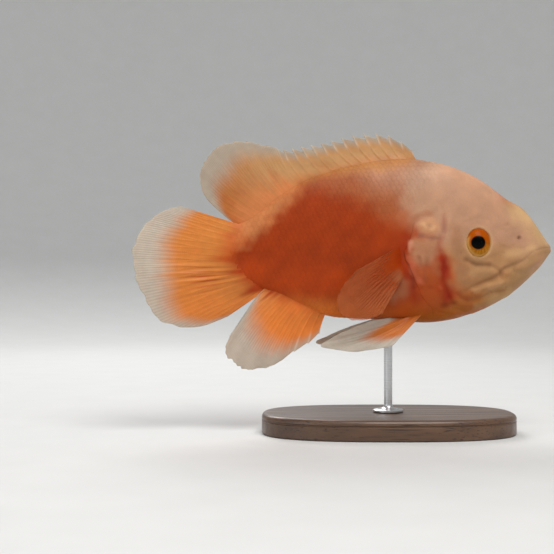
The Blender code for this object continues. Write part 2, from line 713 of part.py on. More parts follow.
def main():
    clear_scene()
    fine = body_loft("fine", 0.0, FINE_ROWS, FINE_COLUMNS)
    whole = body_loft("whole", 0.0)
    clearance = body_loft("clearance", GAP)
    sides = {"right": -1.0, "left": 1.0}
    gap = GAP / 2

    pockets = [gill_shell(f"pocket_{word}", side, -GILL_PLATE_DEPTH - POCKET_CLEARANCE, POCKET_REACH,
                          POCKET_REACH, POCKET_CLEARANCE) for word, side in sides.items()]
    sockets = [eyeball(f"socket_{word}", side, GAP) for word, side in sides.items()]
    drills = [nostril_drill(f"drill_{word}", side) for word, side in sides.items()]
    jaw_room = side_prism("jaw_room", JAW_OUTLINE + GAP)

    for word, side in sides.items():
        rim = orbit_rim(f"rim_{word}", side)
        apply_boolean(fine, rim, "UNION")
        bpy.data.objects.remove(rim)
    head_region = [(AHEAD, ABOVE)] + shifted(GILL_LINE, -gap) + [(AHEAD, BELOW)]
    stem_start = TAIL_STEM_START
    trunk_region = shifted(GILL_LINE, gap) + [(stem_start - gap, BELOW), (stem_start - gap, ABOVE)]
    stem_region = [(stem_start + gap, ABOVE), *TAIL_BASE_LINE, (stem_start + gap, BELOW)]
    head = body_piece("head", fine, head_region, jaw_room, *pockets, *sockets, *drills)
    jaw = body_piece("lower_jaw", fine, JAW_OUTLINE)
    trunk = body_piece("trunk", whole, trunk_region, *pockets)
    tail_stem = body_piece("tail_stem", whole, stem_region)
    flesh = {head: "face", jaw: "face", trunk: "flank", tail_stem: "flank"}
    for word, side in sides.items():
        cover = gill_shell(f"gill_cover_{word}", side, -GILL_PLATE_DEPTH, GILL_FRONT_PROUD,
                           GILL_PLATE_PROUD, 0.0)
        flesh[cover] = "face"
        flesh[eyeball(f"eye_{word}", side, 0.0)] = "eye"

    fins = {
        back_fin("dorsal_fin", DORSAL_KEYS, DORSAL_SPINES + DORSAL_SOFT_RAYS, DORSAL_SPINES, 1,
                 DORSAL_BOW, DORSAL_NOTCH, dorsal_wave): "fin",
        back_fin("anal_fin", ANAL_KEYS, ANAL_RAYS, ANAL_SPINES, 2,
                 ANAL_BOW, ANAL_NOTCH, anal_wave): "fin",
    }
    for word, side in sides.items():
        fins[pectoral_fin(f"pectoral_fin_{word}", side)] = "clear_fin"
        fins[pelvic_fin(f"pelvic_fin_{word}", side)] = "fin"
    for fin in fins:
        apply_boolean(fin, clearance, "DIFFERENCE")
        keep_largest(fin)
    fins[tail_fin("tail_fin")] = "fin"

    for obj, finish in {**flesh, **fins}.items():
        dress(posed(obj), finish)
    rod = stand_rod(posed(clearance))
    dress(rod, "steel")
    dress(stand_base(), "walnut")
    for tool in [fine, whole, clearance, jaw_room, *pockets, *sockets, *drills]:
        bpy.data.objects.remove(tool)


main()
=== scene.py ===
"""The looks of a life-size red oscar cichlid that glides above its oval display stand.

The fish is laid out straight, by its distance behind the snout and its height against the snout
tip in millimetres, and is then bent into its swimming curve. One skin covers the flesh, thin
overlapping scales lie on it, and every fin is a fine sheet whose rays stand up from the membrane.
"""

from __future__ import annotations

import logging
import math
from dataclasses import dataclass, field
from enum import Enum

import bpy
import numpy as np
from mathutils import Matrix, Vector


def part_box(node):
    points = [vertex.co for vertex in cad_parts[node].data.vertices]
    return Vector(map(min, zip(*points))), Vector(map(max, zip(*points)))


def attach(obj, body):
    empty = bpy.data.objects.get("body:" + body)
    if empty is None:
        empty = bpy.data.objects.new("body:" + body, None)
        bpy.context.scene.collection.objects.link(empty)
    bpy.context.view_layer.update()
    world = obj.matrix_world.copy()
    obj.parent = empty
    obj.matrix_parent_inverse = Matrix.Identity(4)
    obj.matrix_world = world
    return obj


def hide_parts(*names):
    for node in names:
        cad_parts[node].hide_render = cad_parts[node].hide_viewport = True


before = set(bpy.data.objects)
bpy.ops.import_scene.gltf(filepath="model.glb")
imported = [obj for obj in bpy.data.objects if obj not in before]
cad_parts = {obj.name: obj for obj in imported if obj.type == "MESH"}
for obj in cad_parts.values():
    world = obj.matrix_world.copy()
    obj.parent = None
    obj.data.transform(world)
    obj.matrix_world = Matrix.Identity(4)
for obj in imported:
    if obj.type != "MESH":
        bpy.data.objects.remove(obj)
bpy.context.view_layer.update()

LOG = logging.getLogger("oscar")
Array = np.ndarray
Line = tuple[tuple[float, float], ...]
Colour = tuple[float, float, float]

MM = 0.001
BODY = "root"
SEED = 11

# Driving sizes of the fish and its place over the stand, in metres
SNOUT_HEIGHT = 110 * MM
ROD_BEHIND_SNOUT = 98 * MM

# Reach of the photograph's frame at the fish, in metres, and its picture size in pixels
METRES_PER_PIXEL = 0.594 * MM
PICTURE_SIZE = 554


class Side(Enum):
    """The two flanks of the fish, by the sign of their distance from the mid-plane."""

    RIGHT = -1.0
    LEFT = 1.0

    @property
    def word(self) -> str:
        """The side's name as the nodes spell it."""
        return self.name.lower()


class Edge(Enum):
    """The line of the body from which a fin in the mid-plane grows."""

    BACK = 1
    BELLY = 2

    @property
    def inward(self) -> float:
        """The sign of the way into the body from this edge."""
        return -1.0 if self is Edge.BACK else 1.0


def hermite(at: Array, knots: Array, values: Array) -> Array:
    """A smooth curve through knots: cubic pieces whose slopes are the central differences.

    Args:
        at: places at which the curve is read.
        knots: rising places of the known values.
        values: the known values.

    Returns:
        The curve's value at each place, held constant beyond the ends.
    """
    slopes = np.gradient(values, knots)
    at = np.clip(at, knots[0], knots[-1])
    i = np.clip(np.searchsorted(knots, at, side="right") - 1, 0, len(knots) - 2)
    span = knots[i + 1] - knots[i]
    t = (at - knots[i]) / span
    start = (1 + 2 * t) * (1 - t) ** 2 * values[i] + t * (1 - t) ** 2 * span * slopes[i]
    end = t * t * (3 - 2 * t) * values[i + 1] + t * t * (t - 1) * span * slopes[i + 1]
    return start + end


def rise(low: float | Array, high: float | Array, at: Array) -> Array:
    """A soft step, 3t^2 - 2t^3, from 0 at low to 1 at high.

    Args:
        low: where the step starts.
        high: where it is complete.
        at: the places to read.

    Returns:
        The height of the step at each place.
    """
    t = np.clip((at - low) / (high - low), 0, 1)
    return t * t * (3 - 2 * t)


def hump(distance: Array, width: float | Array) -> Array:
    """A bell, exp(-(distance / width)^2)."""
    return np.exp(-(distance / width) ** 2)


def path_distance(behind: Array, height: Array, path: Line) -> Array:
    """Distance in the side view from each point to a line of straight stretches.

    Args:
        behind: distances behind the snout.
        height: heights against the snout tip.
        path: the line's points, as (behind, height).

    Returns:
        The shortest distance to any stretch.
    """
    best = np.full(np.broadcast(behind, height).shape, 1e9)
    points = np.array(path)
    for a, b in zip(points[:-1], points[1:]):
        run = b - a
        t = np.clip(((behind - a[0]) * run[0] + (height - a[1]) * run[1]) / (run @ run), 0, 1)
        best = np.minimum(best, np.hypot(behind - a[0] - t * run[0], height - a[1] - t * run[1]))
    return best


def ripple(first: Array, second: Array, wavelength: float, seed: int, waves: int = 14) -> Array:
    """An uneven field about zero: a sum of sine waves that run in drawn directions.

    Args:
        first: the first coordinate of each point.
        second: the second coordinate of each point.
        wavelength: the middle wavelength, in the coordinates' unit.
        seed: the seed of the drawn directions, wavelengths and phases.
        waves: how many waves are summed.

    Returns:
        The field's value, mostly within -1 and 1.
    """
    draw = np.random.default_rng(seed)
    total = np.zeros(np.broadcast(first, second).shape)
    for _ in range(waves):
        angle, phase = draw.uniform(0, 2 * math.pi, 2)
        pace = 2 * math.pi / (wavelength * draw.uniform(0.6, 1.7))
        total += np.sin(pace * (first * math.cos(angle) + second * math.sin(angle)) + phase)
    return total / math.sqrt(waves)


def linear(red: float, green: float, blue: float) -> Array:
    """Scene colour of a display colour given as 0 to 255, by the power 2.2."""
    return (np.array([red, green, blue]) / 255) ** 2.2


def mixed(colour: Array, other: Array, share: Array) -> Array:
    """Blends colours towards another by a share for each point."""
    return colour + (other - colour) * share[..., None]


@dataclass(frozen=True)
class SwimmingCurve:
    """The bend of the whole fish: the head turns a little away from -Y, the tail sweeps to it."""

    head_start: float = 92.0
    head_turn: float = 0.0009
    tail_start: float = 112.0
    tail_sweep: float = 0.00082

    def place(self, points: Array) -> Array:
        """Bends layout points and sets them at their real size and place.

        The mid-plane moves across by a square law ahead of head_start and behind tail_start, and
        what lies beside it turns with its slope.

        Args:
            points: layout points, whose last axis holds x, y and z in millimetres.

        Returns:
            The points in metres in the model's frame.
        """
        behind = -points[..., 0]
        head = np.clip(self.head_start - behind, 0, None)
        tail = np.clip(behind - self.tail_start, 0, None)
        across = self.head_turn * head ** 2 - self.tail_sweep * tail ** 2
        heading = np.arctan(2 * self.head_turn * head + 2 * self.tail_sweep * tail)
        forward = points[..., 0] - points[..., 1] * np.sin(heading)
        sideways = across + points[..., 1] * np.cos(heading)
        placed = np.stack([forward, sideways, points[..., 2]], -1) * MM
        return placed + np.array([ROD_BEHIND_SNOUT, 0, SNOUT_HEIGHT])


@dataclass(frozen=True)
class Fold:
    """A groove or a ridge of the skin along a side-view line.

    Attributes:
        path: the line, as (behind, height).
        out: how far it stands out, or in if negative, in millimetres.
        width: its half width.
        fade: how much of its depth is lost towards its last point, from 0 to 1.
    """

    path: Line
    out: float
    width: float
    fade: float = 0.0

    def lift(self, behind: Array, height: Array) -> Array:
        """Height of the fold over the smooth skin: a bell across its line.

        Args:
            behind: distances behind the snout.
            height: heights against the snout tip.

        Returns:
            The lift in millimetres.
        """
        end = self.path[-1]
        start = self.path[0]
        length = math.dist(start, end)
        left = np.clip(np.hypot(behind - end[0], height - end[1]) / length, 0, 1)
        depth = 1 - self.fade * (1 - left)
        return self.out * depth * hump(path_distance(behind, height, self.path), self.width)


MOUTH_LINE: Line = ((0.0, -0.9), (3.4, -0.5), (6.8, -0.6), (9.1, -1.0), (12.6, -2.0), (16.0, -4.0),
                    (18.6, -6.3), (21.2, -8.3), (23.8, -9.6), (26.9, -10.6), (29.9, -11.8), (32.4, -12.9),
                    (34.0, -14.1))

HEAD_FOLDS: tuple[Fold, ...] = (
    # The slit of the mouth with its soft shade and the fold at its corner
    Fold(MOUTH_LINE[:5], -0.14, 0.5),
    Fold(MOUTH_LINE[4:9], -0.07, 0.6),
    Fold(((19.0, -7.0), (21.2, -8.6), (24.2, -10.1)), -0.2, 1.3),
    Fold(((25.6, -10.4), (29.9, -12.0), (32.8, -13.3)), -0.4, 1.4),
    Fold(((32.4, -13.1), (34.3, -14.8), (34.7, -16.6), (33.6, -18.8)), -0.48, 1.4),
    # The roll of either lip and the folds that bound them
    Fold(((17.0, -1.4), (21.0, -3.8), (26.0, -6.2), (30.5, -7.8)), 0.28, 2.4),
    Fold(((33.8, 0.0), (31.4, -1.0), (26.4, -1.1), (20.1, -0.8), (14.0, 0.2)), -0.24, 1.5, 0.4),
    Fold(((8.0, -6.6), (14.0, -9.6), (20.0, -11.8), (24.2, -12.4)), 0.45, 2.0),
    Fold(((25.6, -11.8), (26.4, -14.8)), -0.25, 1.1),
    Fold(((12.0, -13.2), (17.2, -15.2), (21.4, -15.8), (25.4, -15.6)), -0.2, 1.4),
    Fold(((29.0, -14.8), (31.0, -16.0)), 0.35, 1.5),
    # The long fold from the corner along the cheek, between soft bulges
    Fold(((34.2, -16.4), (37.7, -18.2), (41.3, -19.8), (44.8, -21.0), (48.4, -22.7), (51.8, -24.0),
          (54.7, -26.0), (56.8, -27.6)), -0.62, 1.5, 0.45),
    Fold(((51.0, -14.9), (47.4, -14.8), (42.7, -14.4), (39.6, -14.9)), 0.5, 2.4),
    Fold(((54.0, -17.5), (57.0, -19.5)), 0.35, 2.6),
    Fold(((51.0, -25.6), (45.6, -24.3), (39.8, -22.6), (35.0, -21.4), (31.6, -20.4)), 0.55, 1.7),
    Fold(((60.2, -28.0), (57.7, -30.2), (54.0, -31.8), (49.3, -31.2), (44.6, -29.9), (40.6, -28.0),
          (35.6, -26.7), (31.7, -26.2), (27.0, -23.8)), -0.45, 1.5),
    Fold(((27.0, -27.6), (35.0, -31.0), (45.0, -33.6)), 0.35, 2.4),
    Fold(((30.0, -31.5), (38.0, -35.0), (48.0, -36.6), (57.0, -37.0)), -0.25, 1.5),
    # The arc under the eye, the fold before it and the brow over it
    Fold(((55.6, -8.0), (52.2, -9.8), (49.3, -10.8), (45.8, -11.0), (42.2, -11.0), (39.8, -11.9),
          (37.4, -13.2), (35.4, -14.6)), -0.62, 1.4, 0.35),
    Fold(((38.7, 6.0), (35.9, 3.1), (35.3, -0.9), (36.6, -4.7), (39.8, -6.6), (44.0, -7.6)), -0.28, 1.4),
    Fold(((42.5, 15.4), (49.0, 16.6), (57.0, 13.0), (61.0, 6.0)), -0.2, 1.4),
    Fold(((19.0, 13.0), (24.0, 10.6), (31.0, 8.6), (38.0, 10.4)), -0.2, 1.5),
    # The groove behind the cheek and the plates of the gill cover
    Fold(((70.0, 24.0), (68.2, 18.1), (68.1, 12.3), (68.4, 8.6), (70.0, 5.0), (70.8, 1.5), (70.7, -3.0)),
         -0.35, 1.4),
    Fold(((70.4, -3.6), (69.2, -6.8), (68.2, -9.8), (67.9, -13.7), (68.1, -17.2), (68.2, -20.2),
          (67.3, -23.0), (66.0, -26.4), (65.0, -29.5), (63.2, -32.4)), -0.55, 1.4),
    Fold(((63.6, -32.0), (60.0, -35.4), (54.0, -38.4)), -0.2, 1.6),
    Fold(((65.4, 16.0), (65.0, 4.0), (64.8, -6.0), (63.6, -16.0), (60.6, -25.0)), 0.35, 2.2),
    Fold(((72.0, 4.2), (74.5, 4.6), (77.1, 4.6), (81.6, 5.4)), -0.35, 1.1),
    Fold(((74.5, 11.0), (77.0, 12.6), (80.0, 11.6)), 0.35, 2.2),
    Fold(((73.0, -2.0), (83.0, -1.0)), 0.25, 3.0),
    Fold(((82.1, -7.2), (81.3, -11.4)), -0.25, 1.1),
    Fold(((77.5, -7.0), (78.3, -11.2)), -0.25, 1.1),
    Fold(((71.0, -13.0), (76.0, -19.0), (81.0, -25.0)), -0.25, 1.3),
    Fold(((62.0, -36.5), (53.0, -39.4), (43.0, -37.0)), -0.3, 1.0),
    Fold(((70.0, -38.5), (60.0, -41.4), (49.0, -40.6)), -0.3, 1.0),
)

# Sensory pores of the head, as (behind, height)
HEAD_PORES: Line = ((30.9, 13.3), (36.5, 17.2), (18.0, 10.0), (27.5, 0.6), (33.5, -4.2), (59.0, -4.5),
                    (60.0, 9.5), (54.0, -15.2), (49.5, -29.0), (40.0, -27.0), (31.0, -24.0))
PORE_RADIUS = 0.55
PORE_DEPTH = 0.4


@dataclass(frozen=True)
class BodyForm:
    """The body's smooth surface, as sections along the fish, and the forms raised on it.

    A section is two half superellipses: the half width times the square root of 1 - |sine of the
    turn| to the power of its fullness, and a height that goes with the sine of the turn.
    """

    # Behind the snout, back, belly, half width, fullness of the upper half of the section
    stations: tuple[tuple[float, ...], ...] = (
        (0.0, -1.0, -1.0, 0.0, 2.2),
        (3.3, 4.2, -6.9, 5.2, 2.2),
        (8.0, 11.0, -12.9, 8.4, 2.2),
        (12.7, 17.6, -17.5, 10.5, 2.2),
        (17.5, 22.9, -22.0, 12.1, 2.3),
        (22.2, 25.9, -25.9, 13.4, 2.3),
        (27.0, 28.3, -29.3, 14.5, 2.3),
        (31.7, 31.7, -32.2, 15.4, 2.3),
        (41.2, 38.6, -37.1, 17.0, 2.3),
        (50.7, 43.8, -40.6, 18.3, 2.2),
        (60.2, 47.6, -43.0, 19.0, 2.1),
        (74.4, 50.9, -44.8, 19.0, 2.0),
        (89.8, 52.3, -44.1, 18.2, 1.9),
        (104.0, 51.3, -42.9, 17.0, 1.9),
        (119.5, 48.6, -42.3, 15.0, 1.9),
        (134.3, 44.5, -40.6, 12.6, 1.9),
        (149.1, 38.6, -34.6, 9.9, 1.9),
        (161.6, 31.0, -28.4, 7.7, 1.9),
        (171.7, 23.2, -24.6, 6.1, 2.0),
        (181.8, 15.6, -22.4, 4.7, 2.1),
        (194.0, 11.6, -20.6, 3.4, 2.2),
    )
    belly_fullness: float = 2.4
    widest_below_middle: float = 0.04
    tail_base: Line = ((183.0, 22.0), (187.0, 12.6), (190.0, 4.0), (190.5, -6.0), (186.5, -14.5),
                       (179.5, -21.3), (173.0, -25.6), (164.0, -34.0))
    tail_tuck: float = 0.8
    lip_height: float = 0.22
    lip_offset: float = 1.7
    lip_spread: float = 1.2
    lip_length: float = 24.0
    eye_centre: tuple[float, float] = (48.2, 2.2)
    eye_half: tuple[float, float] = (7.4, 8.5)
    socket_depth: float = 3.4
    rim_offset: float = 0.9
    rim_height: float = 0.25
    nostril: tuple[float, float] = (23.6, 5.0)
    nostril_radius: float = 0.95
    nostril_depth: float = 1.1

    @property
    def length(self) -> float:
        """Distance behind the snout of the last section."""
        return self.stations[-1][0]

    def station(self, behind: Array, column: int) -> Array:
        """A column of the stations at any distance. The square root makes the nose round.

        Args:
            behind: distances behind the snout.
            column: which column of the stations is read.

        Returns:
            The column's value at each distance.
        """
        table = np.array(self.stations)
        return hermite(np.sqrt(np.maximum(behind, 0)), np.sqrt(table[:, 0]), table[:, column])

    def middle(self, behind: Array) -> Array:
        """Height at which the section is widest, a little under its middle."""
        back, belly = self.station(behind, 1), self.station(behind, 2)
        return (back + belly) / 2 - self.widest_below_middle * (back - belly)

    def height_at(self, behind: Array, turn: Array) -> Array:
        """Height of the skin at a turn round the section, from the belly at -90 degrees to the back.

        Args:
            behind: distances behind the snout.
            turn: the turns in radians.

        Returns:
            Heights in millimetres.
        """
        middle, sine = self.middle(behind), np.sin(turn)
        reach = np.where(sine > 0, self.station(behind, 1) - middle, middle - self.station(behind, 2))
        return middle + reach * sine

    def turn_at(self, behind: Array, height: Array) -> Array:
        """The turn at which the skin has a height: the inverse of height_at.

        Args:
            behind: distances behind the snout.
            height: heights in millimetres.

        Returns:
            Turns in radians.
        """
        middle = self.middle(behind)
        reach = np.where(height > middle, self.station(behind, 1) - middle,
                         middle - self.station(behind, 2))
        return np.arcsin(np.clip((height - middle) / np.maximum(reach, 1e-9), -1, 1))

    def half_width(self, behind: Array, turn: Array) -> Array:
        """Distance of the smooth skin from the mid-plane.

        Args:
            behind: distances behind the snout.
            turn: the turns in radians.

        Returns:
            Distances in millimetres.
        """
        sine = np.sin(turn)
        power = np.where(sine > 0, self.station(behind, 4), self.belly_fullness)
        return self.station(behind, 3) * np.sqrt(np.clip(1 - np.abs(sine) ** power, 0, 1))

    def past_eye(self, behind: Array, height: Array) -> Array:
        """Distance beyond the eye's oval edge, negative on the eye.

        Args:
            behind: distances behind the snout.
            height: heights in millimetres.

        Returns:
            The share of the oval's reach past 1, times its mean half size.
        """
        long, tall = self.eye_half
        share = np.hypot((behind - self.eye_centre[0]) / long, (height - self.eye_centre[1]) / tall)
        return (share - 1) * (long + tall) / 2

    def relief(self, behind: Array, height: Array) -> Array:
        """How far lips, folds, pores, the eye's rim and socket and the nostril move the skin.

        Each is a bell across a line or a ring, and they are summed.

        Args:
            behind: distances behind the snout.
            height: heights in millimetres.

        Returns:
            The lift along the skin's normal in millimetres.
        """
        from_mouth = path_distance(behind, height, MOUTH_LINE)
        fade = np.clip(1 - behind / self.lip_length, 0, 1) ** 0.5
        lift = self.lip_height * fade * hump(from_mouth - self.lip_offset, self.lip_spread)
        for fold in HEAD_FOLDS:
            lift = lift + fold.lift(behind, height)
        for pore_behind, pore_height in HEAD_PORES:
            lift = lift - PORE_DEPTH * hump(np.hypot(behind - pore_behind, height - pore_height),
                                            PORE_RADIUS)
        past_eye = self.past_eye(behind, height)
        lift = lift + self.rim_height * hump(past_eye - self.rim_offset, 0.95)
        lift = lift - self.socket_depth * rise(-0.2, -1.5, past_eye)
        from_nostril = np.hypot(behind - self.nostril[0], height - self.nostril[1])
        lift = lift - self.nostril_depth * hump(from_nostril, self.nostril_radius)
        return lift + 0.2 * hump(from_nostril - 1.9, 0.6)

    def tuck(self, behind: Array, height: Array) -> Array:
        """How far the end of the flesh dives under the tail fin's root: a square law past its line.

        Args:
            behind: distances behind the snout.
            height: heights in millimetres.

        Returns:
            The distance moved inwards in millimetres.
        """
        line = np.array(self.tail_base)
        past = np.clip(behind - hermite(-height, -line[:, 1], line[:, 0]) - 0.5, 0, None)
        return self.tail_tuck * np.minimum(past / 4, 1) ** 1.5 + 0.12 * past

    def surface(self, behind: Array, turn: Array, side: float, lift: Array | float = 0.0,
                detail: bool = True) -> Array:
        """Points of the skin, moved out along its normal by the lift and its relief.

        The normal is the cross product of two small steps, along the fish and round the section.

        Args:
            behind: distances behind the snout.
            turn: turns round the section in radians.
            side: -1 on the right flank and 1 on the left.
            lift: extra distance along the normal.
            detail: whether the relief is added.

        Returns:
            Layout points, whose last axis holds x, y and z in millimetres.
        """

        def plain(b: Array, t: Array) -> Array:
            """The smooth skin's point."""
            b = np.maximum(b, 0)
            parts = np.broadcast_arrays(-b, side * self.half_width(b, t), self.height_at(b, t))
            return np.stack(parts, -1)

        step, swing = 0.02, 1e-3
        b = np.maximum(behind, step)
        t = np.clip(turn, -math.pi / 2 + swing, math.pi / 2 - swing)
        along = plain(b + step, t) - plain(b - step, t)
        around = plain(b, t + swing) - plain(b, t - swing)
        normal = np.cross(along, around) * side
        normal /= np.linalg.norm(normal, axis=-1, keepdims=True)
        point = plain(behind, turn)
        out = lift + 0 * point[..., 2]
        if detail:
            out = out + self.relief(-point[..., 0], point[..., 2])
        out = out - self.tuck(-point[..., 0], point[..., 2])
        return point + normal * out[..., None]


@dataclass(frozen=True)
class GillMargin:
    """The free rear edge of the gill cover, where the skin folds over itself.

    Attributes:
        rear: the edge's line, as (height, behind).
        top: height of its upper end.
        bottom: height of its lower end.
        proud: how far the edge stands off the flank.
        overhang: how far the flap reaches back over its groove.
        groove: how deep the groove under it lies.
        wander: how far the edge strays from its line.
        throat_share: the share of its relief that is left towards the throat.
    """

    rear: Line = ((22.0, 76.5), (18.5, 81.4), (13.0, 84.8), (8.0, 85.6), (4.4, 86.6), (0.5, 88.8),
                  (-4.5, 90.0), (-9.0, 88.6), (-13.2, 86.9), (-17.2, 85.0), (-20.7, 83.6), (-24.3, 82.2),
                  (-30.0, 79.0), (-37.0, 72.8))
    top: float = 22.0
    bottom: float = -37.0
    proud: float = 0.5
    overhang: float = 0.22
    groove: float = 0.3
    wander: float = 0.45
    throat_share: float = 0.3

    def behind(self, height: Array) -> Array:
        """Distance behind the snout of the edge at a height: its line with an uneven wander."""
        line = np.array(self.rear)
        stray = self.wander * ripple(height, 0 * height, 6.0, SEED + 50)
        return hermite(-height, -line[:, 0], line[:, 1]) + stray

    def strength(self, height: Array) -> Array:
        """1 along the flap's upper half, less towards the throat, and 0 past both ends."""
        ends = rise(self.top - 5, self.top - 16, height) * rise(self.bottom - 5, self.bottom + 3, height)
        return ends * (self.throat_share + (1 - self.throat_share) * rise(-26.0, -4.0, height))

    def lift(self, place: Array) -> Array:
        """Height of the flap ahead of its edge and depth of the groove behind it.

        Args:
            place: distance behind the edge, negative on the flap.

        Returns:
            The lift where the flap has its full strength.
        """
        flap = self.proud * rise(-20.0, 0.0, place) ** 1.5
        return np.where(place < 0, flap, -0.6 * self.groove * hump(place, 2.2))

    def on_turn(self, form: BodyForm, turn: Array) -> Array:
        """The edge's distance behind the snout for each turn, found by repeated substitution.

        Args:
            form: the body that the cover lies on.
            turn: turns round the section.

        Returns:
            Distances behind the snout.
        """
        behind = np.full(turn.shape, 82.0)
        for _ in range(40):
            behind = 0.5 * behind + 0.5 * self.behind(form.height_at(behind, turn))
        return behind


@dataclass(frozen=True)
class Patch:
    """A soft-edged area of colour on the skin.

    Attributes:
        path: the side-view line that the patch lies along; a round patch repeats one point.
        reach: distance from the line at which the colour is half gone.
        soft: width of the fading edge.
        colour: the display colour, 0 to 255.
        strength: how far it covers what lies under it.
        frayed: how far the edge wanders, in millimetres.
    """

    path: Line
    reach: float
    soft: float
    colour: Colour
    strength: float = 1.0
    frayed: float = 1.0

    def cover(self, behind: Array, height: Array, seed: int) -> Array:
        """Share of the patch's colour at each point: a soft step of the distance to its line.

        Args:
            behind: distances behind the snout.
            height: heights in millimetres.
            seed: the seed of the edge's wander.

        Returns:
            Shares from 0 to the patch's strength.
        """
        path = self.path if len(self.path) > 1 else (self.path[0], (self.path[0][0], self.path[0][1] + 0.01))
        distance = path_distance(behind, height, path)
        distance = distance + self.frayed * ripple(behind, height, 9.0, seed)
        return self.strength * rise(self.reach + self.soft / 2, self.reach - self.soft / 2, distance)


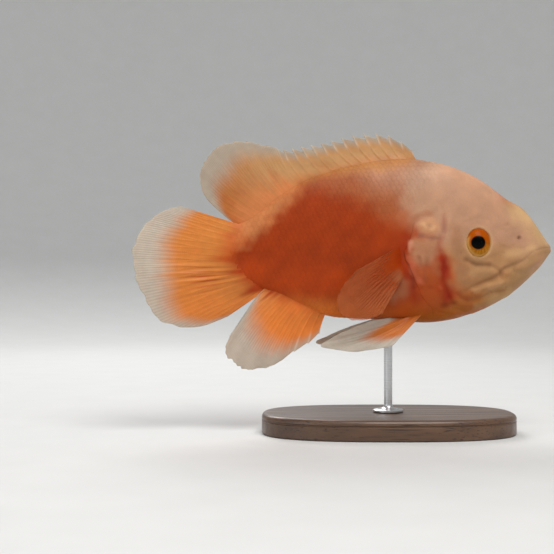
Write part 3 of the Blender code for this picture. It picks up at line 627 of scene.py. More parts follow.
@dataclass(frozen=True)
class MarkingsAndPaintedLight:
    """The fish's colours with painted shade, painted highlights and painted light, one formula for skin,
    scales and the roots of fins.
    """

    flank: Colour = (158, 57, 7)
    patches: tuple[Patch, ...] = (
        # Belly, back, shoulder and nape
        Patch(((60.0, -52.0), (100.0, -54.0), (135.0, -52.0)), 20.0, 24.0, (182, 88, 32), 0.8),
        # Partly the belly's own paler orange, partly painted light that lifts the underside's shade
        Patch(((158.0, -38.5), (128.0, -45.5)), 10.0, 14.0, (242, 128, 56), 0.85),
        Patch(((150.0, 56.0), (134.0, 53.0), (121.0, 49.0), (110.0, 45.0), (98.0, 39.5), (90.0, 31.0),
               (78.0, 30.0), (60.0, 30.0)), 19.0, 16.0, (166, 90, 52), 0.95),
        # Painted light: the lower flank's red painted brighter to lift the underside's shade
        Patch(((130.0, -20.0), (160.0, -23.0), (178.0, -17.0)), 8.0, 14.0, (188, 68, 8), 0.7),
        Patch(((194.0, 11.0), (184.0, 17.0), (174.0, 27.0), (162.0, 39.0)), 12.5, 12.0, (208, 130, 78), 0.85),
        Patch(((194.0, 10.0), (198.0, -4.0)), 8.0, 13.0, (196, 84, 22), 0.65),
        Patch(((100.0, 46.0), (84.0, 47.0), (66.0, 43.0), (50.0, 36.0)), 13.0, 20.0, (184, 128, 98), 0.85),
        Patch(((150.0, 48.5), (138.0, 51.5), (121.0, 53.0), (103.0, 53.5), (90.0, 56.0)),
              9.5, 8.0, (194, 130, 76), 0.8, 0.7),
        # Head, its crown, cheek, snout and jaw
        Patch(((66.0, 30.0), (50.0, 14.0), (38.0, 4.0), (24.0, 0.0), (6.0, 0.0)), 25.0, 16.0,
              (180, 136, 108), 1.0),
        Patch(((66.0, 52.0), (50.0, 46.0), (36.0, 38.0)), 9.0, 14.0, (200, 154, 124), 0.7),
        Patch(((1.0, 0.6), (4.0, 1.0)), 1.2, 5.0, (216, 180, 152), 0.5, 0.3),
        # Painted highlight on the nape
        Patch(((75.0, 43.0), (67.0, 44.0)), 2.5, 12.0, (216, 168, 138), 0.6, 1.0),
        Patch(((11.0, -3.6), (16.0, -7.0)), 1.6, 5.0, (190, 146, 108), 0.5, 0.5),
        # Painted light: a brighter orange that lifts the shade in this spot low on the chest
        Patch(((102.0, -40.0), (93.0, -42.0)), 3.0, 12.0, (178, 96, 48), 0.6, 1.0),
        Patch(((57.0, -12.0), (46.0, -16.0), (34.0, -13.0)), 14.0, 12.0, (170, 126, 84), 0.85),
        Patch(((5.0, 5.0), (14.0, 16.0), (22.0, 23.0)), 6.0, 16.0, (204, 168, 116), 0.7),
        Patch(((28.0, -22.0), (42.0, -29.0), (54.0, -31.0), (62.0, -34.0)), 6.0, 10.0, (168, 104, 56), 0.8),
        Patch(((2.0, -6.0), (12.0, -10.0), (22.0, -17.0), (31.0, -24.0), (40.0, -31.0)), 7.0, 9.0,
              (170, 130, 88), 0.85),
        Patch(((15.0, -0.6), (22.0, -3.6), (30.0, -5.0)), 2.6, 6.0, (204, 162, 116), 0.55),
        Patch(((8.5, -6.4), (11.0, -9.6), (13.6, -13.2)), 1.4, 5.0, (196, 142, 116), 0.5),
        Patch(((46.0, -38.0), (60.0, -42.0), (78.0, -45.0)), 8.0, 13.0, (168, 96, 34), 0.85),
        Patch(((61.0, 8.0), (60.0, -6.0), (57.0, -16.0)), 3.5, 9.0, (152, 106, 76), 0.65),
        # This patch and the next are painted highlights on the crests of the cheek's two soft bulges
        Patch(((33.0, -20.6), (36.0, -21.6), (43.0, -23.4), (50.0, -25.2)), 1.2, 4.2, (194, 148, 104), 0.65),
        Patch(((51.0, -14.8), (47.4, -14.5), (42.7, -13.8)), 1.6, 5.0, (182, 142, 100), 0.55),
        # Painted shade along the groove that runs from the gill cover's foot along the jaw
        Patch(((57.7, -29.4), (54.0, -31.0), (49.3, -30.4), (44.6, -29.1), (40.6, -27.1), (35.6, -26.1),
               (31.7, -25.7)), 0.8, 4.2, (138, 86, 46), 0.65, 0.6),
        Patch(((190.0, -10.0), (184.0, -17.0)), 2.6, 8.0, (174, 66, 20), 0.6, 1.0),
        # Plates of the gill cover
        Patch(((80.0, 13.2), (76.0, 14.2), (72.8, 12.0), (75.0, 9.6), (79.4, 9.8)), 2.0, 5.4,
              (204, 148, 106), 0.85, 1.2),
        Patch(((79.8, 13.0), (78.6, 11.6)), 0.8, 3.2, (226, 178, 130), 0.6, 0.8),
        Patch(((75.2, 9.8), (74.2, 10.6)), 0.6, 3.0, (222, 172, 126), 0.55, 0.6),
        # Painted shade round the rear and upper edge of the top plate
        Patch(((86.0, 9.0), (86.0, 15.2), (82.2, 18.0), (75.8, 18.6)), 1.0, 4.6, (158, 98, 68), 0.6, 0.9),
        Patch(((74.5, 0.5), (82.6, 0.6), (74.5, -2.5), (82.6, -3.6), (76.0, -6.4), (81.6, -7.4)), 4.2, 6.0,
              (174, 122, 90), 0.95, 0.6),
        Patch(((74.0, -14.0), (81.0, -15.0)), 4.0, 10.0, (170, 94, 58), 0.75, 1.2),
        Patch(((75.0, -22.0), (73.0, -33.0)), 7.0, 11.0, (166, 78, 34), 0.75, 1.2),
        Patch(((68.2, 18.1), (68.1, 12.3), (68.3, 8.6)), 0.9, 3.8, (152, 90, 76), 0.55, 0.6),
        Patch(((69.8, 5.2), (70.8, 2.5), (70.8, -1.0)), 0.9, 4.2, (160, 88, 70), 0.5, 0.7),
        Patch(((65.0, -9.0), (63.8, -20.0), (60.8, -29.0)), 2.0, 8.0, (182, 84, 38), 0.65, 1.0),
        Patch(((70.6, -2.0), (69.6, -6.0)), 1.2, 5.4, (162, 72, 44), 0.6, 0.9),
        Patch(((69.4, -6.6), (68.0, -9.8), (67.9, -13.7), (68.1, -17.2), (68.2, -20.2), (67.3, -23.0),
               (66.0, -26.4), (64.8, -30.0)), 2.8, 6.0, (150, 42, 8), 0.95, 0.8),
        Patch(((68.4, -8.6), (68.0, -13.7), (68.3, -18.0)), 0.8, 3.6, (128, 30, 6), 0.6, 0.6),
        Patch(((68.6, -19.4), (67.6, -23.0), (66.4, -26.2)), 1.0, 4.0, (138, 50, 2), 0.65, 0.7),
        Patch(((61.5, -33.0), (63.6, -33.2), (67.0, -33.8)), 1.1, 3.6, (124, 50, 8), 0.8, 0.5),
        Patch(((60.2, -27.6), (57.7, -29.0), (54.0, -30.5)), 0.8, 4.6, (160, 68, 30), 0.6, 0.7),
        # Painted shade behind the gill cover and in the grooves of its plates, and painted highlights on the
        # pale rim of its edge and on small pale spots
        Patch(((89.6, 4.6), (92.6, -2.0), (92.0, -8.0), (89.0, -16.0), (86.4, -22.5), (83.0, -32.0)),
              1.8, 7.0, (138, 40, 12), 0.7, 0.9),
        Patch(((97.0, 4.2), (88.0, 3.8)), 0.4, 2.8, (138, 52, 22), 0.45, 0.6),
        Patch(((87.4, -15.6), (85.8, -19.4), (84.4, -24.0)), 0.8, 3.2, (104, 24, 8), 0.6, 0.5),
        Patch(((87.0, 2.4), (87.6, -2.4)), 0.9, 2.8, (208, 146, 116), 0.7, 0.7),
        Patch(((88.0, -7.0), (85.6, -12.8), (82.8, -20.0)), 1.0, 3.4, (184, 98, 72), 0.5, 1.0),
        Patch(((81.2, -20.0), (80.0, -21.6)), 0.7, 3.0, (198, 100, 76), 0.4, 0.5),
        Patch(((81.6, 5.6), (77.1, 4.8), (73.9, 4.7), (71.4, 4.2)), 0.7, 3.4, (142, 96, 76), 0.7, 0.7),
        Patch(((82.2, -6.8), (81.4, -11.2)), 0.9, 3.4, (140, 80, 56), 0.6, 0.6),
        Patch(((77.4, -7.0), (78.2, -11.0)), 0.8, 3.2, (138, 76, 52), 0.6, 0.6),
        Patch(((78.8, -13.4), (78.8, -19.0)), 0.6, 3.4, (146, 76, 48), 0.5, 0.7),
        Patch(((76.4, -23.6), (74.2, -23.8)), 0.5, 2.8, (138, 50, 24), 0.45, 0.5),
        Patch(((70.2, -23.4), (69.6, -24.4)), 0.6, 2.8, (200, 104, 66), 0.4, 0.4),
        # The grey blush below the foot of the pectoral fin
        Patch(((94.4, -18.4), (90.2, -21.0), (91.6, -28.0), (96.0, -30.0)), 2.8, 6.5,
              (160, 106, 74), 0.7, 1.0),
        # Shade in the folds of the face
        Patch(((55.2, -7.9), (52.2, -9.4), (49.3, -10.3), (45.8, -10.6), (42.2, -10.6)), 0.9, 4.0,
              (108, 70, 44), 0.8, 0.4),
        Patch(((42.2, -10.0), (39.8, -11.2), (37.4, -12.8), (35.4, -14.2)), 0.4, 3.2,
              (138, 94, 62), 0.5, 0.4),
        Patch(((34.4, -15.9), (37.7, -17.5), (41.3, -19.1), (44.8, -20.3), (48.4, -22.0), (51.8, -23.2),
               (54.7, -25.2)), 0.7, 3.8, (130, 88, 54), 0.65, 0.5),
        Patch(((20.0, -7.2), (21.6, -8.4), (23.8, -9.5)), 0.4, 3.0, (156, 114, 80), 0.4, 0.4),
        Patch(((26.0, -9.9), (29.9, -11.4), (32.6, -12.7), (34.4, -14.4), (34.8, -16.8), (33.8, -18.4)),
              0.6, 3.6, (136, 96, 64), 0.6, 0.4),
        Patch(MOUTH_LINE[:5], 0.25, 1.4, (152, 110, 78), 0.45, 0.1),
        Patch(((25.6, -11.4), (26.4, -14.3)), 0.4, 2.6, (152, 108, 74), 0.45, 0.4),
        Patch(((33.8, 0.6), (31.4, -0.6), (26.4, -0.6), (20.1, -0.4)), 0.4, 3.4, (158, 116, 82), 0.35, 0.5),
        Patch(((38.0, 5.0), (35.9, 2.4), (35.3, -0.9), (36.6, -4.7), (40.0, -6.4)), 0.5, 3.4,
              (160, 116, 84), 0.35, 0.5),
        Patch(((32.0, 13.0), (30.0, 13.2)), 0.5, 2.8, (150, 108, 80), 0.5, 0.3),
        # Painted highlight along the ridge below the jaw
        Patch(((26.0, -27.0), (38.5, -31.6), (47.0, -34.8)), 1.4, 5.0, (186, 148, 98), 0.6, 0.9),
    )
    nostril_pit_shade: Colour = (124, 82, 58)
    orbit_tint_and_painted_light: Colour = (206, 168, 122)
    mottle: float = 0.045

    def colour(self, form: BodyForm, behind: Array, height: Array) -> Array:
        """Scene colour of the skin: patches laid over the flank's red in turn, some of them painted shade,
        painted highlights or painted light, with a soft mottle.

        Args:
            form: the body, for the places of eye and nostril.
            behind: distances behind the snout.
            height: heights in millimetres.

        Returns:
            Colours, whose last axis holds red, green and blue.
        """
        shape = np.broadcast(behind, height).shape
        colour = np.broadcast_to(linear(*self.flank), shape + (3,)).copy()
        for number, patch in enumerate(self.patches):
            cover = patch.cover(behind, height, SEED + number)
            colour = mixed(colour, linear(*patch.colour), cover)
        # A pale ring on the socket's wall round the eye: partly the skin's own pale ring, partly painted
        # light that lifts the socket's shade
        ring = hump(form.past_eye(behind, height) + 0.5, 1.3)
        colour = mixed(colour, linear(*self.orbit_tint_and_painted_light), 0.7 * ring)
        # Painted shade in the nostril's pit
        from_nostril = np.hypot(behind - form.nostril[0], height - form.nostril[1])
        colour = mixed(colour, linear(*self.nostril_pit_shade), 0.7 * hump(from_nostril, 1.3))
        shade = 1 + self.mottle * ripple(behind, height, 16.0, SEED + 40)
        return np.clip(colour * shade[..., None], 0, 1)


FORM = BodyForm()
MARGIN = GillMargin()
CURVE = SwimmingCurve()
MARKINGS_AND_PAINTED_LIGHT = MarkingsAndPaintedLight()


@dataclass
class MeshData:
    """Points, faces and painted values of a mesh before it is made.

    Attributes:
        points: layout or model points, one row each.
        quads: faces of four corners.
        triangles: faces of three corners.
        colours: a colour for each point, if it carries any.
        values: named single values for each point.
        bake_places: a place on the bake map for each point, if it has one.
        crisp_from: the angle in radians from which an edge is shaded as a crease, if any.
    """

    points: Array
    quads: Array
    triangles: Array = field(default_factory=lambda: np.zeros((0, 3), int))
    colours: Array | None = None
    values: dict[str, Array] = field(default_factory=dict)
    bake_places: Array | None = None
    crisp_from: float | None = None

    def outward(self) -> None:
        """Turns all faces round if the volume that they enclose comes out negative."""
        corners = [self.quads[:, [0, 1, 2]], self.quads[:, [0, 2, 3]], self.triangles]
        fans = np.concatenate(corners)
        a, b, c = (self.points[fans[:, k]] for k in range(3))
        if np.einsum("ij,ij->", a, np.cross(b, c)) < 0:
            self.quads = self.quads[:, ::-1]
            self.triangles = self.triangles[:, ::-1]

    def piece(self, name: str) -> bpy.types.Object:
        """Makes the smooth-shaded object, with its colours, values and bake map.

        Args:
            name: the object's name.

        Returns:
            The new object, at the origin.
        """
        self.outward()
        mesh = bpy.data.meshes.new(name)
        faces = self.quads.tolist() + self.triangles.tolist()
        mesh.from_pydata(self.points.tolist(), [], faces)
        if self.colours is not None:
            paint = mesh.attributes.new("marking_and_painted_light", "FLOAT_COLOR", "POINT")
            filled = np.column_stack([self.colours, np.ones(len(self.colours))])
            paint.data.foreach_set("color", filled.astype(np.float32).ravel())
        for key, value in self.values.items():
            layer = mesh.attributes.new(key, "FLOAT", "POINT")
            layer.data.foreach_set("value", value.astype(np.float32).ravel())
        if self.bake_places is not None:
            corner_points = np.zeros(len(mesh.loops), np.int32)
            mesh.loops.foreach_get("vertex_index", corner_points)
            bake_map = mesh.uv_layers.new(name="OFBake")
            bake_map.data.foreach_set("uv", self.bake_places[corner_points].astype(np.float32).ravel())
        mesh.shade_smooth()
        if self.crisp_from is not None:
            mesh.set_sharp_from_angle(angle=self.crisp_from)
        made = bpy.data.objects.new(name, mesh)
        bpy.context.scene.collection.objects.link(made)
        return made


def grid_quads(rows: int, columns: int, ringed: bool = False) -> Array:
    """Faces of a grid whose points run row by row.

    Args:
        rows: how many rows of points.
        columns: how many points in a row.
        ringed: whether each row closes on itself.

    Returns:
        Four point numbers for each face.
    """
    count = columns if ringed else columns - 1
    i, j = np.meshgrid(np.arange(rows - 1), np.arange(count), indexing="ij")
    a, b = i * columns + j, i * columns + (j + 1) % columns
    return np.stack([a, b, b + columns, a + columns], -1).reshape(-1, 4)


def closed_sheet(top: Array, bottom: Array) -> tuple[Array, Array]:
    """Closes two grids of points into one thin body with a rim of its own.

    Args:
        top: the upper grid, rows by columns by 3.
        bottom: the lower grid of the same shape.

    Returns:
        The points and the faces.
    """
    rows, columns = top.shape[:2]
    under = rows * columns
    upper = grid_quads(rows, columns)
    numbers = np.arange(under).reshape(rows, columns)
    edge = np.concatenate([numbers[0], numbers[1:, -1], numbers[-1, -2::-1], numbers[-2:0:-1, 0]])
    after = np.roll(edge, -1)
    rim = np.stack([after, edge, edge + under, after + under], -1)
    points = np.concatenate([top.reshape(-1, 3), bottom.reshape(-1, 3)])
    return points, np.concatenate([upper, upper[:, ::-1] + under, rim])


def fan(centre: int, first: int, count: int, turned: bool = False) -> Array:
    """Triangles from one point to a ring of points.

    Args:
        centre: the number of the point in the middle.
        first: the number of the ring's first point.
        count: how many points the ring has.
        turned: whether the faces look the other way.

    Returns:
        Three point numbers for each face.
    """
    j = np.arange(count)
    near, far = first + j, first + (j + 1) % count
    if turned:
        near, far = far, near
    return np.stack([0 * j + centre, near, far], -1)


class NodeDesk:
    """A short way to lay out a material's nodes."""

    def __init__(self, name: str) -> None:
        """Starts a material with one Principled shader.

        Args:
            name: the material's name.
        """
        self.material = bpy.data.materials.new(name)
        self.material.use_nodes = True
        self.tree = self.material.node_tree
        self.shader = self.tree.nodes["Principled BSDF"]

    def put(self, kind: str, **settings: object) -> bpy.types.Node:
        """Adds a node of a kind and sets its properties."""
        node = self.tree.nodes.new(kind)
        for key, value in settings.items():
            setattr(node, key, value)
        return node

    def join(self, source: bpy.types.NodeSocket, target: bpy.types.NodeSocket) -> None:
        """Links one socket to another."""
        self.tree.links.new(source, target)

    def fixed(self, **values: float | tuple[float, ...]) -> None:
        """Sets the shader's own sockets, named with underscores for spaces."""
        for key, value in values.items():
            self.shader.inputs[key.replace("_", " ")].default_value = value

    def attribute(self, name: str) -> bpy.types.Node:
        """Reads a named attribute of the piece."""
        return self.put("ShaderNodeAttribute", attribute_name=name)

    def noise(self, scale: float, detail: float = 3.0, stretch: tuple[float, float, float] = (1, 1, 1),
              roughness: float = 0.5) -> bpy.types.NodeSocket:
        """Noise on Object coordinates.

        Args:
            scale: cells for each metre.
            detail: octaves of finer noise.
            stretch: how much faster the noise runs along each axis.
            roughness: the strength of the finer octaves.

        Returns:
            The socket of the noise's height.
        """
        place = self.put("ShaderNodeTexCoord")
        mapping = self.put("ShaderNodeMapping")
        mapping.inputs["Scale"].default_value = stretch
        node = self.put("ShaderNodeTexNoise")
        node.inputs["Scale"].default_value = scale
        node.inputs["Detail"].default_value = detail
        node.inputs["Roughness"].default_value = roughness
        self.join(place.outputs["Object"], mapping.inputs["Vector"])
        self.join(mapping.outputs["Vector"], node.inputs["Vector"])
        return node.outputs["Fac"]

    def spread(self, source: bpy.types.NodeSocket, low: float, high: float,
               near: float = 0.0, far: float = 1.0) -> bpy.types.NodeSocket:
        """Maps a value's range low to high onto near to far."""
        node = self.put("ShaderNodeMapRange")
        for key, value in (("From Min", low), ("From Max", high), ("To Min", near), ("To Max", far)):
            node.inputs[key].default_value = value
        self.join(source, node.inputs["Value"])
        return node.outputs["Result"]

    def maths(self, operation: str, first: bpy.types.NodeSocket,
              second: bpy.types.NodeSocket | float) -> bpy.types.NodeSocket:
        """Combines two values by an arithmetic operation."""
        node = self.put("ShaderNodeMath", operation=operation)
        self.join(first, node.inputs[0])
        if isinstance(second, (int, float)):
            node.inputs[1].default_value = second
        else:
            self.join(second, node.inputs[1])
        return node.outputs[0]

    def blend(self, share: bpy.types.NodeSocket | float, first: bpy.types.NodeSocket | tuple[float, ...],
              second: bpy.types.NodeSocket | tuple[float, ...], how: str = "MIX") -> bpy.types.NodeSocket:
        """Mixes two colours.

        Args:
            share: how much of the second colour is used.
            first: a colour or its socket.
            second: a colour or its socket.
            how: the blend mode.

        Returns:
            The mixed colour's socket.
        """
        node = self.put("ShaderNodeMix", data_type="RGBA", blend_type=how)
        if isinstance(share, float):
            node.inputs["Factor"].default_value = share
        else:
            self.join(share, node.inputs["Factor"])
        for socket, value in ((node.inputs[6], first), (node.inputs[7], second)):
            if isinstance(value, bpy.types.NodeSocket):
                self.join(value, socket)
            else:
                socket.default_value = (*value, 1)
        return node.outputs[2]

    def bump(self, height: bpy.types.NodeSocket, depth: float, strength: float = 1.0,
             under: bpy.types.NodeSocket | None = None) -> bpy.types.NodeSocket:
        """Raises the surface by a height.

        Args:
            height: the height's socket, 0 to 1.
            depth: the height of 1 in metres.
            strength: the share of the effect.
            under: the normal that it is laid on, if any.

        Returns:
            The new normal's socket.
        """
        node = self.put("ShaderNodeBump")
        node.inputs["Strength"].default_value = strength
        node.inputs["Distance"].default_value = depth
        self.join(height, node.inputs["Height"])
        if under is not None:
            self.join(under, node.inputs["Normal"])
        return node.outputs["Normal"]


@dataclass(frozen=True)
class SkinFinish:
    """Moist fish skin: painted markings with painted shade and highlights, painted shade at the scales' rear
    edges, fine mottling and a soft sheen over translucent flesh.

    Attributes:
        name: the material's name.
        roughness: the middle roughness of the surface.
        wetness: weight of the clear coat.
        gleam: level of the skin's own highlights.
        flesh: how much of the light passes through the flesh.
    """

    name: str = "oscar skin"
    roughness: float = 0.5
    wetness: float = 0.05
    gleam: float = 0.24
    flesh: float = 0.12

    def material(self) -> bpy.types.Material:
        """Builds the nodes."""
        desk = NodeDesk(self.name)
        marking_and_painted_light = desk.attribute("marking_and_painted_light").outputs["Color"]
        blotch = desk.spread(desk.noise(160.0, 5.0, roughness=0.6), 0.3, 0.7, 0.0, 1.0)
        warm = desk.blend(blotch, (0.94, 0.92, 0.91), (1.06, 1.05, 1.04))
        grain = desk.spread(desk.noise(1500.0, 2.0), 0.3, 0.7, 0.0, 1.0)
        fine = desk.blend(grain, (0.96, 0.955, 0.95), (1.04, 1.035, 1.03))
        first = desk.blend(1.0, marking_and_painted_light, warm, "MULTIPLY")
        second = desk.blend(1.0, first, fine, "MULTIPLY")
        # Painted shade: the scales' rear edges are darkened by about a tenth
        edge = desk.attribute("scale_edge_shade").outputs["Fac"]
        rim = desk.blend(1.0, second, (0.92, 0.9, 0.89), "MULTIPLY")
        desk.join(desk.blend(edge, second, rim), desk.shader.inputs["Base Color"])
        gloss = desk.spread(desk.noise(420.0, 3.0), 0.3, 0.7, self.roughness - 0.08, self.roughness + 0.1)
        desk.join(gloss, desk.shader.inputs["Roughness"])
        soft = desk.bump(desk.noise(900.0, 4.0, roughness=0.6), 0.00012, 0.6)
        tiny = desk.bump(desk.noise(3800.0, 2.0), 0.00003, 0.5, soft)
        desk.join(tiny, desk.shader.inputs["Normal"])
        desk.fixed(Subsurface_Weight=self.flesh, Subsurface_Radius=(1.0, 0.32, 0.18),
                   Subsurface_Scale=2.5 * MM, Coat_Weight=self.wetness, Coat_Roughness=0.25,
                   Specular_IOR_Level=self.gleam, IOR=1.38)
        return desk.material


@dataclass(frozen=True)
class FinFinish:
    """Fin membrane and rays: painted colour, ray joints as fine rings and a clear outer edge.

    Attributes:
        name: the material's name.
        clear_alpha: opacity of the fin where it is clearest.
        wetness: weight of the clear coat.
        gleam: level of the fin's own highlights.
        joint_pitch: distance between two joints of a ray, in millimetres.
    """

    name: str
    clear_alpha: float = 0.8
    wetness: float = 0.08
    gleam: float = 0.3
    joint_pitch: float = 1.15

    def material(self) -> bpy.types.Material:
        """Builds the nodes."""
        desk = NodeDesk(self.name)
        marking_and_painted_light = desk.attribute("marking_and_painted_light").outputs["Color"]
        ray = desk.attribute("ray").outputs["Fac"]
        along = desk.attribute("along").outputs["Fac"]
        cloud = desk.spread(desk.noise(260.0, 4.0, roughness=0.6), 0.3, 0.7)
        tone = desk.blend(cloud, (0.95, 0.93, 0.92), (1.05, 1.04, 1.03))
        toned = desk.blend(1.0, marking_and_painted_light, tone, "MULTIPLY")
        pace = desk.maths("MULTIPLY", along, 2 * math.pi / self.joint_pitch)
        wave = desk.spread(desk.maths("SINE", pace, 0.0), 0.55, 1.0)
        dense = desk.spread(desk.attribute("clear").outputs["Fac"], 0.0, 0.5, 1.0, 0.0)
        jointed = desk.maths("MULTIPLY", desk.maths("MULTIPLY", wave, ray), dense)
        darker = desk.blend(1.0, toned, (0.93, 0.91, 0.9), "MULTIPLY")
        desk.join(desk.blend(jointed, toned, darker), desk.shader.inputs["Base Color"])
        rings = desk.maths("SUBTRACT", ray, jointed)
        grooves = desk.bump(rings, 0.00005, 0.5)
        desk.join(desk.bump(desk.noise(1400.0, 3.0), 0.00004, 0.4, grooves), desk.shader.inputs["Normal"])
        clear = desk.attribute("clear").outputs["Fac"]
        desk.join(desk.spread(clear, 0.0, 1.0, 1.0, self.clear_alpha), desk.shader.inputs["Alpha"])
        desk.join(desk.spread(cloud, 0.0, 1.0, 0.34, 0.5), desk.shader.inputs["Roughness"])
        desk.fixed(Subsurface_Weight=0.15, Subsurface_Radius=(1.0, 0.5, 0.35), Subsurface_Scale=1.5 * MM,
                   Coat_Weight=self.wetness, Coat_Roughness=0.25, Specular_IOR_Level=self.gleam, IOR=1.38)
        return desk.material


@dataclass(frozen=True)
class EyeFinish:
    """A glass-clear eye: painted iris and pupil under a clear glossy coat."""

    name: str = "oscar eye"

    def material(self) -> bpy.types.Material:
        """Builds the nodes."""
        desk = NodeDesk(self.name)
        marking_and_painted_light = desk.attribute("marking_and_painted_light").outputs["Color"]
        speck = desk.spread(desk.noise(2600.0, 4.0, roughness=0.7), 0.3, 0.7)
        tone = desk.blend(speck, (0.8, 0.76, 0.7), (1.2, 1.16, 1.1))
        desk.join(desk.blend(1.0, marking_and_painted_light, tone, "MULTIPLY"), desk.shader.inputs["Base Color"])
        desk.join(desk.spread(speck, 0.0, 1.0, 0.3, 0.45), desk.shader.inputs["Roughness"])
        desk.fixed(Coat_Weight=0.12, Coat_Roughness=0.04, Coat_IOR=1.34, Specular_IOR_Level=0.03)
        return desk.material


@dataclass(frozen=True)
class WalnutFinish:
    """Oiled walnut: long figure, dark pores and a satin coat."""

    name: str = "walnut"

    def material(self) -> bpy.types.Material:
        """Builds the nodes."""
        desk = NodeDesk(self.name)
        figure = desk.spread(desk.noise(34.0, 6.0, (0.22, 1.6, 1.6), 0.6), 0.32, 0.68)
        line = desk.spread(desk.noise(150.0, 4.0, (0.08, 1.5, 1.5), 0.6), 0.35, 0.65)
        pore = desk.spread(desk.noise(900.0, 2.0, (0.05, 1.4, 1.4)), 0.58, 0.68)
        wood = desk.blend(figure, (0.055, 0.024, 0.011), (0.16, 0.078, 0.036))
        lined = desk.blend(desk.spread(line, 0, 1, 0.0, 0.55), wood, (0.07, 0.032, 0.015))
        desk.join(desk.blend(pore, lined, (0.025, 0.011, 0.006)), desk.shader.inputs["Base Color"])
        desk.join(desk.spread(line, 0.0, 1.0, 0.36, 0.5), desk.shader.inputs["Roughness"])
        desk.join(desk.bump(pore, -0.00008, 0.6), desk.shader.inputs["Normal"])
        desk.fixed(Coat_Weight=0.3, Coat_Roughness=0.2)
        return desk.material


@dataclass(frozen=True)
class SteelFinish:
    """Brushed stainless steel, with fine turned lines round the rod."""

    name: str = "brushed steel"

    def material(self) -> bpy.types.Material:
        """Builds the nodes."""
        desk = NodeDesk(self.name)
        turned = desk.noise(900.0, 3.0, (0.05, 0.05, 2.2), 0.6)
        desk.join(desk.spread(turned, 0.3, 0.7, 0.24, 0.4), desk.shader.inputs["Roughness"])
        tone = desk.blend(desk.spread(turned, 0.3, 0.7), (0.5, 0.51, 0.52), (0.66, 0.66, 0.67))
        desk.join(tone, desk.shader.inputs["Base Color"])
        desk.join(desk.bump(turned, 0.00002, 0.5), desk.shader.inputs["Normal"])
        desk.fixed(Metallic=1.0)
        return desk.material


@dataclass(frozen=True)
class PaperFinish:
    """The studio's matt pale paper sweep."""

    name: str = "studio paper"

    def material(self) -> bpy.types.Material:
        """Builds the nodes."""
        desk = NodeDesk(self.name)
        cloud = desk.spread(desk.noise(30.0, 4.0), 0.3, 0.7)
        tone = desk.blend(cloud, (0.67, 0.67, 0.66), (0.69, 0.69, 0.68))
        desk.join(tone, desk.shader.inputs["Base Color"])
        desk.fixed(Roughness=0.85)
        return desk.material


def finish_piece(piece: bpy.types.Object, material: bpy.types.Material, slot: str,
                 *nodes: str) -> bpy.types.Object:
    """Dresses a piece, lets it ride and hides the nodes that it stands for.

    Args:
        piece: the finished object.
        material: its material.
        slot: the record's material slot; not used.
        nodes: the CAD nodes that it replaces.

    Returns:
        The same object.
    """
    piece.data.materials.clear()
    piece.data.materials.append(material)
    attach(piece, BODY)
    if nodes:
        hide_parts(*nodes)
    LOG.info("%s: %d points", piece.name, len(piece.data.vertices))
    return piece


# Extra rows along the flap's edge, as (place past the edge, shift as a share of the overhang, lift as
# a share of the flap's height)
FLAP_ROWS = ((-0.6, 0.45, 0.97), (-0.3, 0.75, 0.99), (-0.12, 0.95, 0.97), (0.0, 1.0, 0.82),
             (0.02, 0.9, 0.6), (0.04, 0.1, 0.1), (0.06, -0.15, -0.45), (0.3, -0.05, -0.5),
             (0.6, 0.0, -0.4))


